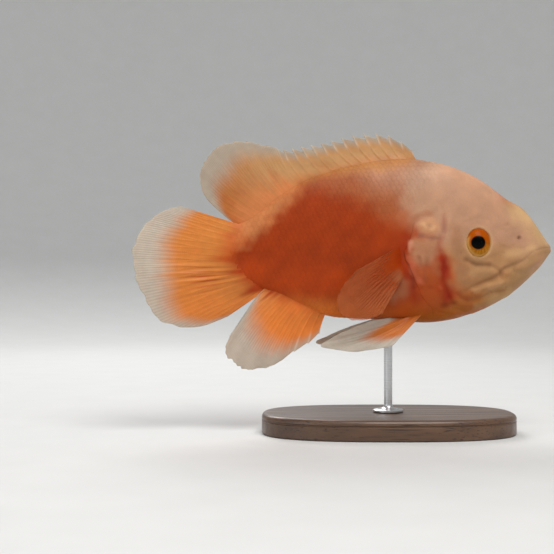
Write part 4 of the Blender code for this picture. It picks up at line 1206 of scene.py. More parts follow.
@dataclass
class Skin:
    """One skin over head, jaw, gill covers, trunk and tail stem."""

    material: bpy.types.Material
    rows: int = 352
    columns: int = 117
    head_crowding: float = 1.2
    flank_crowding: float = 0.25
    edge_row: float = 88.0
    flap_room: float = 0.75
    pleat: float = 0.12

    def row_places(self) -> tuple[Array, Array, Array]:
        """The rows from snout to tail end, with a fold of extra rows at the gill cover's edge.

        Returns:
            The row's place along the fish, how far it is shifted along the fish, and its lift as a
            share of the flap's, each as one value for every row.
        """
        share = np.linspace(0, 1, self.rows + 1)[1:]
        place = FORM.length * share ** self.head_crowding
        shift = np.zeros_like(place)
        lift = MARGIN.lift(place - self.edge_row)
        apart = np.abs(place - self.edge_row) > self.flap_room
        fold_place, fold_shift, fold_lift = np.array(FLAP_ROWS).T
        shift = np.where((place < self.edge_row) & (place > self.edge_row - 3),
                         0.45 * MARGIN.overhang * rise(-3.0, -0.6, place - self.edge_row), shift)
        place = np.concatenate([place[apart], self.edge_row + fold_place])
        shift = np.concatenate([shift[apart], MARGIN.overhang * fold_shift])
        lift = np.concatenate([lift[apart], MARGIN.proud * fold_lift])
        order = np.argsort(place, kind="stable")
        return place[order], shift[order], lift[order]

    def half(self, side: Side) -> tuple[Array, Array]:
        """One flank's points and colours.

        Rows keep to the gill cover's edge: the place along the fish is stretched on either side of
        it, so that one row runs along the edge at every turn.

        Args:
            side: the flank.

        Returns:
            Layout points and colours, rows by columns by 3.
        """
        place, shift, lift = self.row_places()
        swing = np.linspace(-1, 1, self.columns)
        turn = math.pi / 2 * ((1 - self.flank_crowding) * swing + self.flank_crowding * swing ** 3)
        edge = MARGIN.on_turn(FORM, turn)
        strength = MARGIN.strength(FORM.height_at(edge, turn))
        from_edge = place[:, None] - self.edge_row
        ahead = place[:, None] * edge / self.edge_row
        beyond = edge + from_edge * (FORM.length - edge) / (FORM.length - self.edge_row)
        behind = np.where(place[:, None] <= self.edge_row, ahead, beyond)
        behind = behind + shift[:, None] * strength
        turns = np.broadcast_to(turn, behind.shape)
        height = FORM.height_at(behind, turns)
        pleats = np.sin(2 * math.pi * height / 2.7 + 1.3 * np.sin(0.35 * height)) * hump(height + 8, 14.0)
        pleats = self.pleat * pleats * rise(-9.0, -1.0, from_edge) * (from_edge < 0)
        points = FORM.surface(behind, turns, side.value, (lift[:, None] + pleats) * strength)
        colours = MARKINGS_AND_PAINTED_LIGHT.colour(FORM, behind, height)
        # Painted shade: a darker red in the groove just behind the gill cover's edge
        pocket_shade = hump(from_edge - 0.1, 0.3) * strength
        return points, mixed(colours, linear(150, 56, 30), 0.3 * pocket_shade)

    def build(self) -> bpy.types.Object:
        """Joins both flanks into one closed skin."""
        left, left_colours = self.half(Side.LEFT)
        right, right_colours = self.half(Side.RIGHT)
        left[:, [0, -1], 1] = 0
        ring = np.concatenate([left, right[:, -2:0:-1]], axis=1)
        paint = np.concatenate([left_colours, right_colours[:, -2:0:-1]], axis=1)
        rows, count = ring.shape[:2]
        nose = np.array([[0.0, 0.0, FORM.stations[0][1]]])
        end = ring[-1].mean(axis=0, keepdims=True)
        points = np.concatenate([nose, ring.reshape(-1, 3), end])
        colours = np.concatenate([paint[0, :1], paint.reshape(-1, 3), paint[-1, :1]])
        quads = grid_quads(rows, count, ringed=True) + 1
        fans = np.concatenate([fan(0, 1, count, turned=True),
                               fan(len(points) - 1, 1 + (rows - 1) * count, count)])
        data = MeshData(CURVE.place(points), quads, fans, colours)
        data.values["scale_edge_shade"] = np.zeros(len(points))
        return finish_piece(data.piece("oscar_skin"), self.material, "flank_skin", "head", "lower_jaw",
                            "gill_cover_right", "gill_cover_left", "trunk", "tail_stem")


@dataclass
class ScaleCoat:
    """Thin overlapping scales on one flank, in rows that run along the fish.

    Attributes:
        side: the flank.
        material: its material.
        pitch: distance between two scales of a row, in millimetres.
        row_pitch: distance between two rows.
        length: length of a scale.
        width: width of a scale.
        rear_lift: how far its rear stands off the skin.
        front_sink: how far its front lies in the skin.
        fade_in: distance over which the scales rise to their full height.
        thickness: thickness of a scale at its middle.
        steps: how many points run along each side of a scale.
        start_height: height of the rows' zero line at the snout.
        patch: size of a scale's place on the bake map.
        map_margin: margin left round the bake map.
    """

    side: Side
    material: bpy.types.Material
    pitch: float = 2.9
    row_pitch: float = 3.15
    length: float = 5.2
    width: float = 5.4
    rear_lift: float = 0.12
    front_sink: float = 0.16
    fade_in: float = 34.0
    thickness: float = 0.05
    steps: int = 6
    start_height: float = 12.0
    patch: float = 0.003
    map_margin: float = 0.02

    def arc_table(self) -> tuple[Array, Array, Array]:
        """Length round the section from its widest line to each turn, at even steps along the fish.

        Returns:
            The distances behind the snout, the turns and the lengths, a row for each distance.
        """
        behind = np.linspace(1.0, FORM.length, 260)
        turn = np.linspace(-math.pi / 2, math.pi / 2, 181)
        points = FORM.surface(behind[:, None], turn[None, :], 1.0, detail=False)
        step = np.linalg.norm(np.diff(points, axis=1), axis=2)
        run = np.concatenate([np.zeros((len(behind), 1)), np.cumsum(step, axis=1)], axis=1)
        zero = np.array([np.interp(FORM.turn_at(b, self.start_height * (1 - b / FORM.length)), turn, row)
                         for b, row in zip(behind, run)])
        return behind, turn, run - zero[:, None]

    def turn_for(self, behind: Array, arc: Array, table: tuple[Array, Array, Array]) -> tuple[Array, Array]:
        """The turn that lies a given length round the section, read from the table.

        Args:
            behind: distances behind the snout.
            arc: lengths from the zero line, upwards positive.
            table: what arc_table gave.

        Returns:
            The turns, and how far each length runs past the back or the belly.
        """
        places, turns, runs = table
        spot = np.clip((behind - places[0]) / (places[1] - places[0]), 0, len(places) - 1.001)
        low = spot.astype(int)
        share = spot - low
        found = np.zeros(behind.shape)
        past = np.zeros(behind.shape)
        for row in np.unique(low):
            here = low == row
            for offset, weight in ((0, 1 - share[here]), (1, share[here])):
                run = runs[row + offset]
                found[here] += weight * np.interp(arc[here], run, turns)
                over = np.maximum(arc[here] - run[-1], 0) + np.maximum(run[0] - arc[here], 0)
                past[here] += weight * over
        return found, past

    def roots(self, table: tuple[Array, Array, Array]) -> tuple[Array, Array, Array]:
        """Places of the scales' middles: every second row is set back by half a pitch.

        Args:
            table: what arc_table gave.

        Returns:
            Distances behind the snout, lengths round the section and distances behind the line
            where the scales begin.
        """
        draw = np.random.default_rng(SEED + 100)
        row_numbers = np.arange(-40, 40)
        behind = np.arange(44.0, FORM.length, self.pitch)
        grid_behind = behind[None, :] + (row_numbers[:, None] % 2) * self.pitch / 2
        grid_arc = np.broadcast_to(row_numbers[:, None] * self.row_pitch, grid_behind.shape)
        grid_behind = grid_behind + draw.uniform(-0.12, 0.12, grid_behind.shape)
        grid_arc = grid_arc + draw.uniform(-0.12, 0.12, grid_behind.shape)
        flat_behind, flat_arc = grid_behind.ravel(), grid_arc.ravel()
        turn, past = self.turn_for(flat_behind, flat_arc, table)
        height = FORM.height_at(flat_behind, turn)
        start = MARGIN.behind(height) + 2.0
        above = np.clip(height - MARGIN.top, 0, None)
        start = start - 1.1 * above
        start = np.where(height < -30.0, start + 1.2 * (-30.0 - height), start)
        line = np.array(FORM.tail_base)
        end = hermite(-height, -line[:, 1], line[:, 0]) + 1.5
        keep = (past < 0.4) & (flat_behind > start) & (flat_behind < end)
        return flat_behind[keep], flat_arc[keep], (flat_behind - start)[keep]

    def build(self) -> bpy.types.Object:
        """Makes every scale as a thin closed lens.

        A square grid is pressed into a disc by the elliptical mapping x sqrt(1 - y^2/2), its front
        sinks under the skin, its rear stands off it, and a lower face lies its thickness below.
        """
        table = self.arc_table()
        behind, arc, within = self.roots(table)
        draw = np.random.default_rng(SEED + 101)
        size = draw.uniform(0.95, 1.06, len(behind))[:, None, None]
        tilt = draw.uniform(0.85, 1.15, len(behind))[:, None, None]
        ticks = np.linspace(-1, 1, self.steps)
        x, y = np.meshgrid(ticks, ticks, indexing="ij")
        along, across = x * np.sqrt(1 - y * y / 2), y * np.sqrt(1 - x * x / 2)
        slim = rise(196.0, 150.0, behind)[:, None, None] * 0.3 + 0.7
        spots = behind[:, None, None] + along * size * self.length / 2 * slim
        arcs = arc[:, None, None] + across * size * self.width / 2 * slim
        turns, past = self.turn_for(spots, arcs, table)
        share = (along + 1) / 2
        crown = 0.06 * (1 - across ** 2)
        shown = rise(0.0, self.fade_in, within)[:, None, None]
        top_lift = shown * (tilt * self.rear_lift * share + crown * share)
        top_lift = top_lift - tilt * self.front_sink * (1 - share) ** 1.2 - 0.3 * past - 0.012 * (1 - shown)
        radius = np.sqrt(np.clip(along ** 2 + across ** 2, 0, 1))
        gauge = self.thickness * (1 - 0.7 * radius ** 4)
        top = FORM.surface(spots, turns, self.side.value, top_lift)
        under = FORM.surface(spots, turns, self.side.value, top_lift - gauge)
        count, steps = len(behind), self.steps
        points = np.concatenate([top.reshape(count, -1, 3), under.reshape(count, -1, 3)], axis=1)
        _, quads = closed_sheet(top[0], under[0])
        each = points.shape[1]
        faces = (quads[None] + np.arange(count)[:, None, None] * each).reshape(-1, 4)
        heights = FORM.height_at(spots, turns)
        colours = MARKINGS_AND_PAINTED_LIGHT.colour(FORM, spots, heights).reshape(count, -1, 3)
        own = draw.uniform(0.975, 1.025, count)[:, None, None]
        colours = np.clip(np.concatenate([colours, colours], axis=1) * own, 0, 1)
        # Painted shade along each scale's rear rim, growing as the scale rises
        edge = (rise(0.72, 0.98, radius) * rise(0.35, 0.8, share) * shown).reshape(count, -1)
        edge = np.concatenate([edge, edge], axis=1)
        root_turn, _ = self.turn_for(behind, arc, table)
        root = np.stack([behind / FORM.length, 0.5 + 0.5 * self.side.value * (root_turn / math.pi + 0.5)], -1)
        root = self.map_margin + (1 - 2 * self.map_margin) * root
        local = np.stack([along, across], -1).reshape(1, -1, 2) * self.patch / 2
        places = root[:, None, :] + np.concatenate([local, local], axis=1)
        data = MeshData(CURVE.place(points.reshape(-1, 3)), faces, colours=colours.reshape(-1, 3))
        data.values["scale_edge_shade"] = edge.reshape(-1)
        data.crisp_from = math.radians(40)
        data.bake_places = places.reshape(-1, 2)
        LOG.info("%d scales of %d by %d points", count, steps, steps)
        return finish_piece(data.piece(f"scales_{self.side.word}"), self.material, "flank_skin")


@dataclass
class Fin:
    """A fin as one closed sheet, whose rays stand up from the membrane and branch towards the tips.

    Attributes:
        name: the piece's name.
        node: the CAD node that it replaces.
        material: its material.
        rays: how many rays it has.
        spines: how many of the first rays are unbranched spines.
        clear_keys: for places across the fin, the share of the ray's length at which the colour
            gives way to the milky edge.
        core: display colour of the fin.
        core_low: display colour of the core towards the last rays.
        streak_colour: display colour of the darker streaks.
        streaked: strength of the streaks.
        milk: display colour of its edge.
        spine_tip: display colour of the tips of the spines.
        milk_soft: half the width of the change to the milky edge, as a share of the ray.
        ray_tone: how much lighter the rays are than the membrane.
        clear_floor: the least clearness of the membrane past the foot.
        foot_reach: share of the ray over which the skin's own colour fades out.
        slot_name: the record's material slot.
        root_half: half thickness of the flesh at the foot.
        root_share: share of the ray over which that flesh thins out.
        root_sink: how deep the foot lies in the body.
        ray_half: half thickness of a soft ray at its foot.
        spine_half: half thickness of a spine at its foot.
        tip_half: half thickness of either at its tip.
        membrane_half: half thickness of the membrane.
        notch: depth of the notches behind the spines, as a share of the ray.
        scallop: depth of the dips between soft rays, as a share of the ray.
        fray: unevenness of the soft edge, as a share of the ray.
        steps_across: how many columns of points each ray has.
        steps_along: how many rows of points run from foot to tip.
        seed: the seed of its uneven lines.
        keys: the key rays, whose columns each kind of fin names.
    """

    name: str
    node: str
    material: bpy.types.Material
    rays: int
    clear_keys: Line
    spines: int = 0
    slot_name: str = "fin"
    core: Colour = (216, 126, 56)
    core_low: Colour = (216, 126, 56)
    streak_colour: Colour = (186, 84, 26)
    streaked: float = 0.25
    milk: Colour = (188, 180, 166)
    spine_tip: Colour = (206, 196, 180)
    milk_soft: float = 0.15
    ray_tone: float = 0.05
    clear_floor: float = 0.0
    foot_reach: float = 0.4
    root_half: float = 1.9
    root_share: float = 0.4
    root_sink: float = 3.0
    ray_half: float = 0.4
    spine_half: float = 0.6
    tip_half: float = 0.22
    membrane_half: float = 0.22
    notch: float = 0.0
    scallop: float = 0.008
    fray: float = 0.012
    steps_across: int = 12
    steps_along: int = 54
    seed: int = 1
    keys: tuple[tuple[float, ...], ...] = ()

    def key(self, place: Array, number: int) -> Array:
        """A column of the keys at any place of their first column."""
        table = np.array(self.keys)
        return hermite(place, table[:, 0], table[:, number])

    def roots(self, column: Array) -> Array:
        """Layout points where the columns leave the body."""
        raise NotImplementedError

    def tips(self, column: Array) -> Array:
        """Layout points of the columns' tips."""
        raise NotImplementedError

    def bow(self, column: Array, length: Array) -> Array:
        """How far each column's middle lies off its chord, towards the fin's front edge."""
        return 0 * column

    def wave(self, share: Array, place: Array) -> Array:
        """How far the fin's folds push it across, in millimetres."""
        return 0 * share * place

    def root_gauge(self, column: Array) -> Array:
        """Half thickness of the flesh at the fin's foot."""
        return self.root_half + 0 * column

    def foot_profile(self, share: Array) -> Array:
        """How the flesh of the foot thins out along the rays, from 1 to 0."""
        return (1 - np.clip(share / self.root_share, 0, 1)) ** 1.5

    def spiny(self, column: Array) -> Array:
        """1 among the spines and 0 among the soft rays."""
        return np.clip(self.spines - column, 0, 1)

    def ridge(self, column: Array, share: Array) -> Array:
        """Height of the rays over the membrane: bells on each ray, which part twice in soft rays.

        Args:
            column: places across the fin in steps of one ray.
            share: places along the rays, 0 at the root and 1 at the tip.

        Returns:
            1 on the crest of a ray or of a branch, 0 on the membrane.
        """
        offset = column - np.round(column)
        soft = 1 - self.spiny(np.round(column))
        first = 0.25 * rise(0.3, 0.62, share) * soft
        second = 0.125 * rise(0.56, 0.86, share) * soft
        width = 0.15 - 0.08 * share * soft - 0.04 * (1 - soft)
        best = np.zeros(np.broadcast(column, share).shape)
        for way in (-1, 1):
            for branch in (-1, 1):
                best = np.maximum(best, hump(offset - way * first - branch * second, width))
        return best

    def reach(self, column: Array) -> Array:
        """Share of its full length that each column reaches: notches behind spines, scallops and fray.

        Between two spines the membrane's edge falls off steeply behind the one and rises slowly to
        the next.
        """
        part = column - np.floor(column)
        sag = np.where(part < 0.12, part / 0.12, 1 - (part - 0.12) / 0.88) ** 0.8
        spiny = self.spiny(column)
        soft_edge = self.scallop * (1 - np.cos(2 * math.pi * column)) / 2
        rough = self.fray * ripple(column, 0 * column, 1.6, self.seed, 9)
        return 1 - self.notch * sag * spiny - (soft_edge + np.maximum(rough, -0.5 * self.fray)) * (1 - spiny)

    def streaks(self, column: Array, share: Array) -> Array:
        """Share of the streaks' colour: faint uneven lines along the rays."""
        uneven = rise(0.1, 1.3, ripple(column, share * 5, 2.6, self.seed + 9))
        return self.streaked * uneven * hump(share - 0.35, 0.3)

    def colours(self, column: Array, share: Array, ridge: Array, middle: Array) -> tuple[Array, Array]:
        """Painted colour and clearness.

        The foot has the skin's own colour at its place. It gives way to the core, and the core to
        the milky edge, each along the rays.

        Args:
            column: places across the fin.
            share: places along the rays.
            ridge: the ray height there.
            middle: layout points of the sheet.

        Returns:
            Scene colours, and 0 where the fin is dense to 1 where it is clearest.
        """
        keys = np.array(self.clear_keys)
        start = hermite(column / (self.rays - 1), keys[:, 0], keys[:, 1])
        streak = 0.014 * ripple(column, share * 0.5, 0.9, self.seed + 5)
        broad = 0.02 * ripple(column, share * 2, 6.0, self.seed + 8)
        milky = rise(-self.milk_soft, self.milk_soft, share - start - streak - broad)
        foot = rise(self.foot_reach, 0.0, share + 0.05 * ripple(column, share, 2.0, self.seed + 6))
        colour = mixed(np.broadcast_to(linear(*self.core), milky.shape + (3,)), linear(*self.core_low),
                       rise(0.45, 0.95, column / (self.rays - 1)))
        colour = mixed(colour, linear(*self.streak_colour), self.streaks(column, share))
        own = MARKINGS_AND_PAINTED_LIGHT.colour(FORM, -middle[..., 0], middle[..., 2])
        colour = colour + (own - colour) * foot[..., None]
        colour = mixed(colour, linear(*self.milk), milky * 0.95)
        tipped = 0.6 * ridge * self.spiny(column) * rise(0.6, 0.85, share)
        colour = mixed(colour, linear(*self.spine_tip), tipped)
        tone = 1 + self.ray_tone * (ridge - 0.4) + 0.03 * ripple(column, share * 3, 2.4, self.seed + 7)
        clear = np.maximum(milky, self.clear_floor * (1 - foot)) * (1 - 0.6 * ridge)
        return np.clip(colour * tone[..., None], 0, 1), clear

    def build(self) -> bpy.types.Object:
        """Lays out the sheet and dresses it.

        A point lies on the chord from root to tip, moved off it by the bow 4 s (1 - s), by the
        waves, and by half the fin's thickness along the sheet's normal, which is the mean normal at
        the root and the column's own at the tip.
        """
        column = np.linspace(0, self.rays - 1, (self.rays - 1) * self.steps_across + 1)
        share = 1 - (1 - np.linspace(0, 1, self.steps_along)) ** 1.15
        root, tip = self.roots(column), self.tips(column)
        full = np.linalg.norm(tip - root, axis=1)
        chord = (tip - root) * self.reach(column)[:, None]
        along = chord / np.linalg.norm(chord, axis=1, keepdims=True)
        across = np.gradient(root * 0.5 + tip * 0.5, axis=0)
        across -= along * np.sum(across * along, axis=1, keepdims=True)
        across /= np.linalg.norm(across, axis=1, keepdims=True)
        s, c = share[:, None], np.broadcast_to(column, (len(share), len(column)))
        middle = root + chord * s[..., None]
        middle = middle - across * (self.bow(column, full) * 4 * s * (1 - s))[..., None]
        middle[..., 1] += self.wave(s, column[None, :] / (self.rays - 1))
        own = np.cross(along, across)
        blended = own.mean(axis=0) * (1 - s[..., None] ** 2) + own * s[..., None] ** 2
        normal = blended / np.linalg.norm(blended, axis=2, keepdims=True)
        ridge = self.ridge(c, s + 0 * c)
        spiny = self.spiny(np.round(c))
        crest = self.ray_half + (self.spine_half - self.ray_half) * spiny
        crest = crest + (self.tip_half - crest) * s ** 0.8
        sheet = self.membrane_half * (1 - 0.5 * s)
        blade = sheet + (crest - sheet) * ridge
        blade = blade * (1 - 0.75 * rise(0.965, 1.0, s))
        half = blade + np.maximum(self.root_gauge(column) - blade, 0) * self.foot_profile(s)
        top, bottom = middle + normal * half[..., None], middle - normal * half[..., None]
        points, quads = closed_sheet(top, bottom)
        colours, clear = self.colours(c, s + 0 * c, ridge, middle)
        data = MeshData(CURVE.place(points), quads)
        data.colours = np.concatenate([colours.reshape(-1, 3)] * 2)
        data.values["ray"] = np.tile((ridge * (1 - spiny)).ravel(), 2)
        data.values["along"] = np.tile((s * full).ravel(), 2)
        data.values["clear"] = np.tile(clear.ravel(), 2)
        return finish_piece(data.piece(self.name), self.material, self.slot_name, self.node)


@dataclass
class MidlineFin(Fin):
    """A fin in the mid-plane, whose roots follow the back or the belly.

    Attributes:
        keys: key rays, as (ray, root behind, tip behind, tip height).
        edge: the line that it grows from.
        bow_share: the bow of a ray as a share of its length.
        fold: height of the folds at the tips.
        fold_start: place across the fin where they begin.
        fold_turns: how many half waves they make.
        fold_phase: where the first wave starts.
        sheath: half thickness of the fin's foot as a share of the body's own there.
        sheath_ends: over how many rays the foot thins out at either end.
    """

    edge: Edge = Edge.BACK
    bow_share: float = 0.0
    fold: float = 1.5
    fold_start: float = 0.0
    fold_turns: float = 2.0
    fold_phase: float = 0.0
    sheath: float = 0.6
    sheath_ends: float = 3.0

    def roots(self, column: Array) -> Array:
        """Points on the back or belly line, sunk into the body."""
        behind = self.key(column, 1)
        height = FORM.station(behind, self.edge.value) + self.edge.inward * self.root_sink
        return np.stack([-behind, 0 * column, height], -1)

    def tips(self, column: Array) -> Array:
        """Tips in the mid-plane."""
        return np.stack([-self.key(column, 2), 0 * column, self.key(column, 3)], -1)

    def root_gauge(self, column: Array) -> Array:
        """A sheath as wide as most of the body at the roots, thinner towards the fin's two ends."""
        root = self.roots(column)
        behind, height = -root[:, 0], root[:, 2]
        width = FORM.half_width(behind, FORM.turn_at(behind, height))
        ends = rise(-0.5, self.sheath_ends, column) * rise(-0.5, self.sheath_ends, self.rays - 1 - column)
        return np.maximum(self.sheath * width * ends, self.spine_half)

    def bow(self, column: Array, length: Array) -> Array:
        """A share of each ray's length."""
        return self.bow_share * length

    def wave(self, share: Array, place: Array) -> Array:
        """Soft folds that grow with the square of the distance from the root."""
        window = np.clip((place - self.fold_start) / (1 - self.fold_start), 0, 1) if self.fold_start else 1.0
        swing = np.sin(self.fold_turns * math.pi * place + self.fold_phase)
        small = 0.3 * np.sin(11 * math.pi * place + 3.0 * share)
        return share ** 2 * (self.fold * window * swing + small)


@dataclass
class TailFin(Fin):
    """The tail fin, which fans out from the end of the flesh."""

    # Share across the fin, tip behind the snout, tip height
    keys: tuple[tuple[float, ...], ...] = (
        (0.00, 220.5, 23.9),
        (0.07, 226.5, 22.8),
        (0.17, 234.5, 18.2),
        (0.29, 243.5, 9.6),
        (0.41, 248.0, -1.5),
        (0.52, 248.0, -12.0),
        (0.63, 244.5, -23.5),
        (0.73, 238.5, -35.0),
        (0.82, 231.0, -44.0),
        (0.90, 219.0, -47.6),
        (0.96, 205.5, -46.2),
        (1.00, 193.0, -41.2),
    )
    root_ahead: float = 2.5
    hidden: float = 0.1

    def root_line(self, column: Array) -> tuple[Array, Array]:
        """Points of the fin's foot, a little ahead of the end of the flesh."""
        line = np.array(FORM.tail_base)
        run = np.concatenate([[0], np.cumsum(np.hypot(*np.diff(line, axis=0).T))])
        at = run[1] + column / (self.rays - 1) * (run[-2] - run[1])
        return hermite(at, run, line[:, 0]) - self.root_ahead, hermite(at, run, line[:, 1])

    def roots(self, column: Array) -> Array:
        """The foot in the mid-plane."""
        behind, height = self.root_line(column)
        return np.stack([-behind, 0 * behind, height], -1)

    def root_gauge(self, column: Array) -> Array:
        """The flesh's own half width, less a little so that the foot starts under the skin."""
        behind, height = self.root_line(column)
        width = FORM.half_width(behind, FORM.turn_at(behind, height))
        return np.maximum(width - self.hidden, self.membrane_half)

    def tips(self, column: Array) -> Array:
        """Tips in the mid-plane."""
        place = column / (self.rays - 1)
        return np.stack([-self.key(place, 1), 0 * place, self.key(place, 2)], -1)

    def foot_profile(self, share: Array) -> Array:
        """A cosine from 1 to 0, so that the foot leaves the flesh without a step."""
        return 0.5 + 0.5 * np.cos(math.pi * np.clip(share / self.root_share, 0, 1))

    def streaks(self, column: Array, share: Array) -> Array:
        """Faint lines all over, and short dark ones in the folds of the lower middle."""
        place = column / (self.rays - 1)
        fold = hump(place - 0.64, 0.1) * hump(share - 0.36, 0.17)
        line = rise(0.1, 0.9, np.sin(2 * math.pi * 1.4 * column + 9.0 * share))
        return np.maximum(0.5 * super().streaks(column, share), 0.8 * fold * line)

    def wave(self, share: Array, place: Array) -> Array:
        """Soft folds that grow towards the edge, with a few small ones in the lower middle."""
        large = 2.2 * share ** 2 * np.sin(2.2 * math.pi * place + 0.6)
        small = 0.3 * hump(place - 0.6, 0.16) * hump(share - 0.42, 0.3) * np.sin(30 * math.pi * place)
        return large + small


@dataclass
class PairedFin(Fin):
    """A pectoral or pelvic fin.

    Attributes:
        side: the flank that it grows from.
        keys: key rays, as (ray, root behind, root place, tip behind, tip height, tip out, bow).
        from_flank: whether the root place is a height on the flank, not a distance out.
    """

    side: Side = Side.RIGHT
    from_flank: bool = True

    def roots(self, column: Array) -> Array:
        """Points on the skin, sunk into the body."""
        behind, place = self.key(column, 1), self.key(column, 2)
        if self.from_flank:
            turn = FORM.turn_at(behind, place)
        else:
            share = np.clip(place / FORM.station(behind, 3), 0, 1)
            turn = -np.arcsin((1 - share ** 2) ** (1 / FORM.belly_fullness))
        return FORM.surface(behind, turn, self.side.value, -self.root_sink, detail=False)

    def tips(self, column: Array) -> Array:
        """Tips beside the body."""
        out = self.side.value * self.key(column, 5)
        return np.stack([-self.key(column, 3), out, self.key(column, 4)], -1)

    def bow(self, column: Array, length: Array) -> Array:
        """The key rays' own bow."""
        return self.key(column, 6)

    def wave(self, share: Array, place: Array) -> Array:
        """Small folds towards the edge."""
        return self.side.value * 0.25 * share ** 2 * np.sin(9 * math.pi * place + 1.0)


@dataclass
class Eye:
    """A glossy eye with a wide orange iris and a round dark pupil.

    Attributes:
        side: the flank that it looks out of.
        material: its material.
        half_depth: half its depth, in millimetres.
        sink: how far its middle lies under the skin.
        pupil: radius of the pupil.
        pupil_drop: how far the pupil lies below the eye's middle.
        pupil_back: how far the pupil lies behind the eye's middle.
        bulge: how far the pupil bulges out.
        rings: how many steps it has from pole to pole.
        segments: how many points each ring has.
        iris_top: display colour of the iris above the pupil.
        iris_bottom: display colour of the iris below the pupil.
        iris_rim_and_painted_light: display colour of the iris's rim: its own pale ring with painted light
            over the socket's shade.
        inner_ring: display colour of the line round the pupil.
    """

    side: Side
    material: bpy.types.Material
    half_depth: float = 5.4
    sink: float = 1.75
    pupil: float = 3.9
    pupil_drop: float = 0.15
    pupil_back: float = 1.5
    bulge: float = 0.35
    rings: int = 72
    segments: int = 144
    iris_top: Colour = (162, 76, 2)
    iris_bottom: Colour = (176, 116, 32)
    iris_rim_and_painted_light: Colour = (196, 150, 84)
    inner_ring: Colour = (150, 70, 6)

    def paint(self, radius: Array, angle: Array) -> Array:
        """Colours by distance from the round pupil, by height and by place towards the rim.

        Args:
            radius: 0 at the middle and 1 at the eye's rim.
            angle: the angle round the eye, upwards at a quarter turn.

        Returns:
            Scene colours.
        """
        long, tall = FORM.eye_half
        across, up = radius * long * np.cos(angle), radius * tall * np.sin(angle)
        forward = -self.side.value * across
        from_pupil = np.hypot(forward + self.pupil_back, up + self.pupil_drop) - self.pupil
        colour = mixed(np.broadcast_to(linear(*self.iris_bottom), radius.shape + (3,)),
                       linear(*self.iris_top), rise(-5.0, 2.0, up))
        streak = ripple(np.cos(angle) * 6, np.sin(angle) * 6, 1.6, SEED + 60)
        colour = mixed(colour, linear(110, 40, 4), 0.25 * rise(0.1, 1.2, streak))
        # The iris's pale rim at the sides and below: partly its own pale ring, partly painted light that
        # lifts the shade where the ball meets its socket
        rim = rise(0.74, 0.92, radius) * rise(4.6, 1.4, up)
        colour = mixed(colour, linear(*self.iris_rim_and_painted_light), 0.85 * rim)
        colour = mixed(colour, linear(*self.inner_ring), 0.7 * hump(from_pupil - 0.4, 0.4))
        return mixed(colour, linear(8, 3, 4), rise(0.2, -0.15, from_pupil))

    def build(self) -> bpy.types.Object:
        """Makes a flattened ball whose pupil bulges a little, set along the skin's normal."""
        behind, height = (np.array(value) for value in FORM.eye_centre)
        turn = FORM.turn_at(behind, height)
        centre = FORM.surface(behind, turn, self.side.value, detail=False)
        normal = FORM.surface(behind, turn, self.side.value, 1.0, detail=False) - centre
        normal = normal / np.linalg.norm(normal)
        first = np.cross((0.0, 0.0, 1.0), normal)
        first = first / np.linalg.norm(first)
        second = np.cross(normal, first)
        polar = np.linspace(0, math.pi, self.rings + 1)[1:-1][:, None]
        angle = np.linspace(0, 2 * math.pi, self.segments, endpoint=False)[None, :]
        radius = np.sin(polar) + 0 * angle
        front = np.cos(polar) + 0 * angle
        bulge = self.bulge * rise(0.64, 0.0, radius) * (front > 0)
        out = self.half_depth * front + bulge
        long, tall = FORM.eye_half
        flat = radius[..., None] * (long * np.cos(angle)[..., None] * first
                                    + tall * np.sin(angle)[..., None] * second)
        base = centre - normal * self.sink
        ball = base + flat + out[..., None] * normal
        poles = np.stack([base + normal * (self.half_depth + self.bulge), base - normal * self.half_depth])
        points = np.concatenate([poles, ball.reshape(-1, 3)])
        count = self.segments
        quads = grid_quads(self.rings - 1, count, ringed=True) + 2
        last = 2 + (self.rings - 2) * count
        fans = np.concatenate([fan(0, 2, count), fan(1, last, count, turned=True)])
        seen = np.where(front > 0, radius, 1.0)
        colours = np.concatenate([np.tile(linear(8, 3, 4), (2, 1)),
                                  self.paint(seen, angle + 0 * polar).reshape(-1, 3)])
        data = MeshData(CURVE.place(points), quads, fans, colours)
        return finish_piece(data.piece(f"eye_ball_{self.side.word}"), self.material, "eye",
                            f"eye_{self.side.word}")


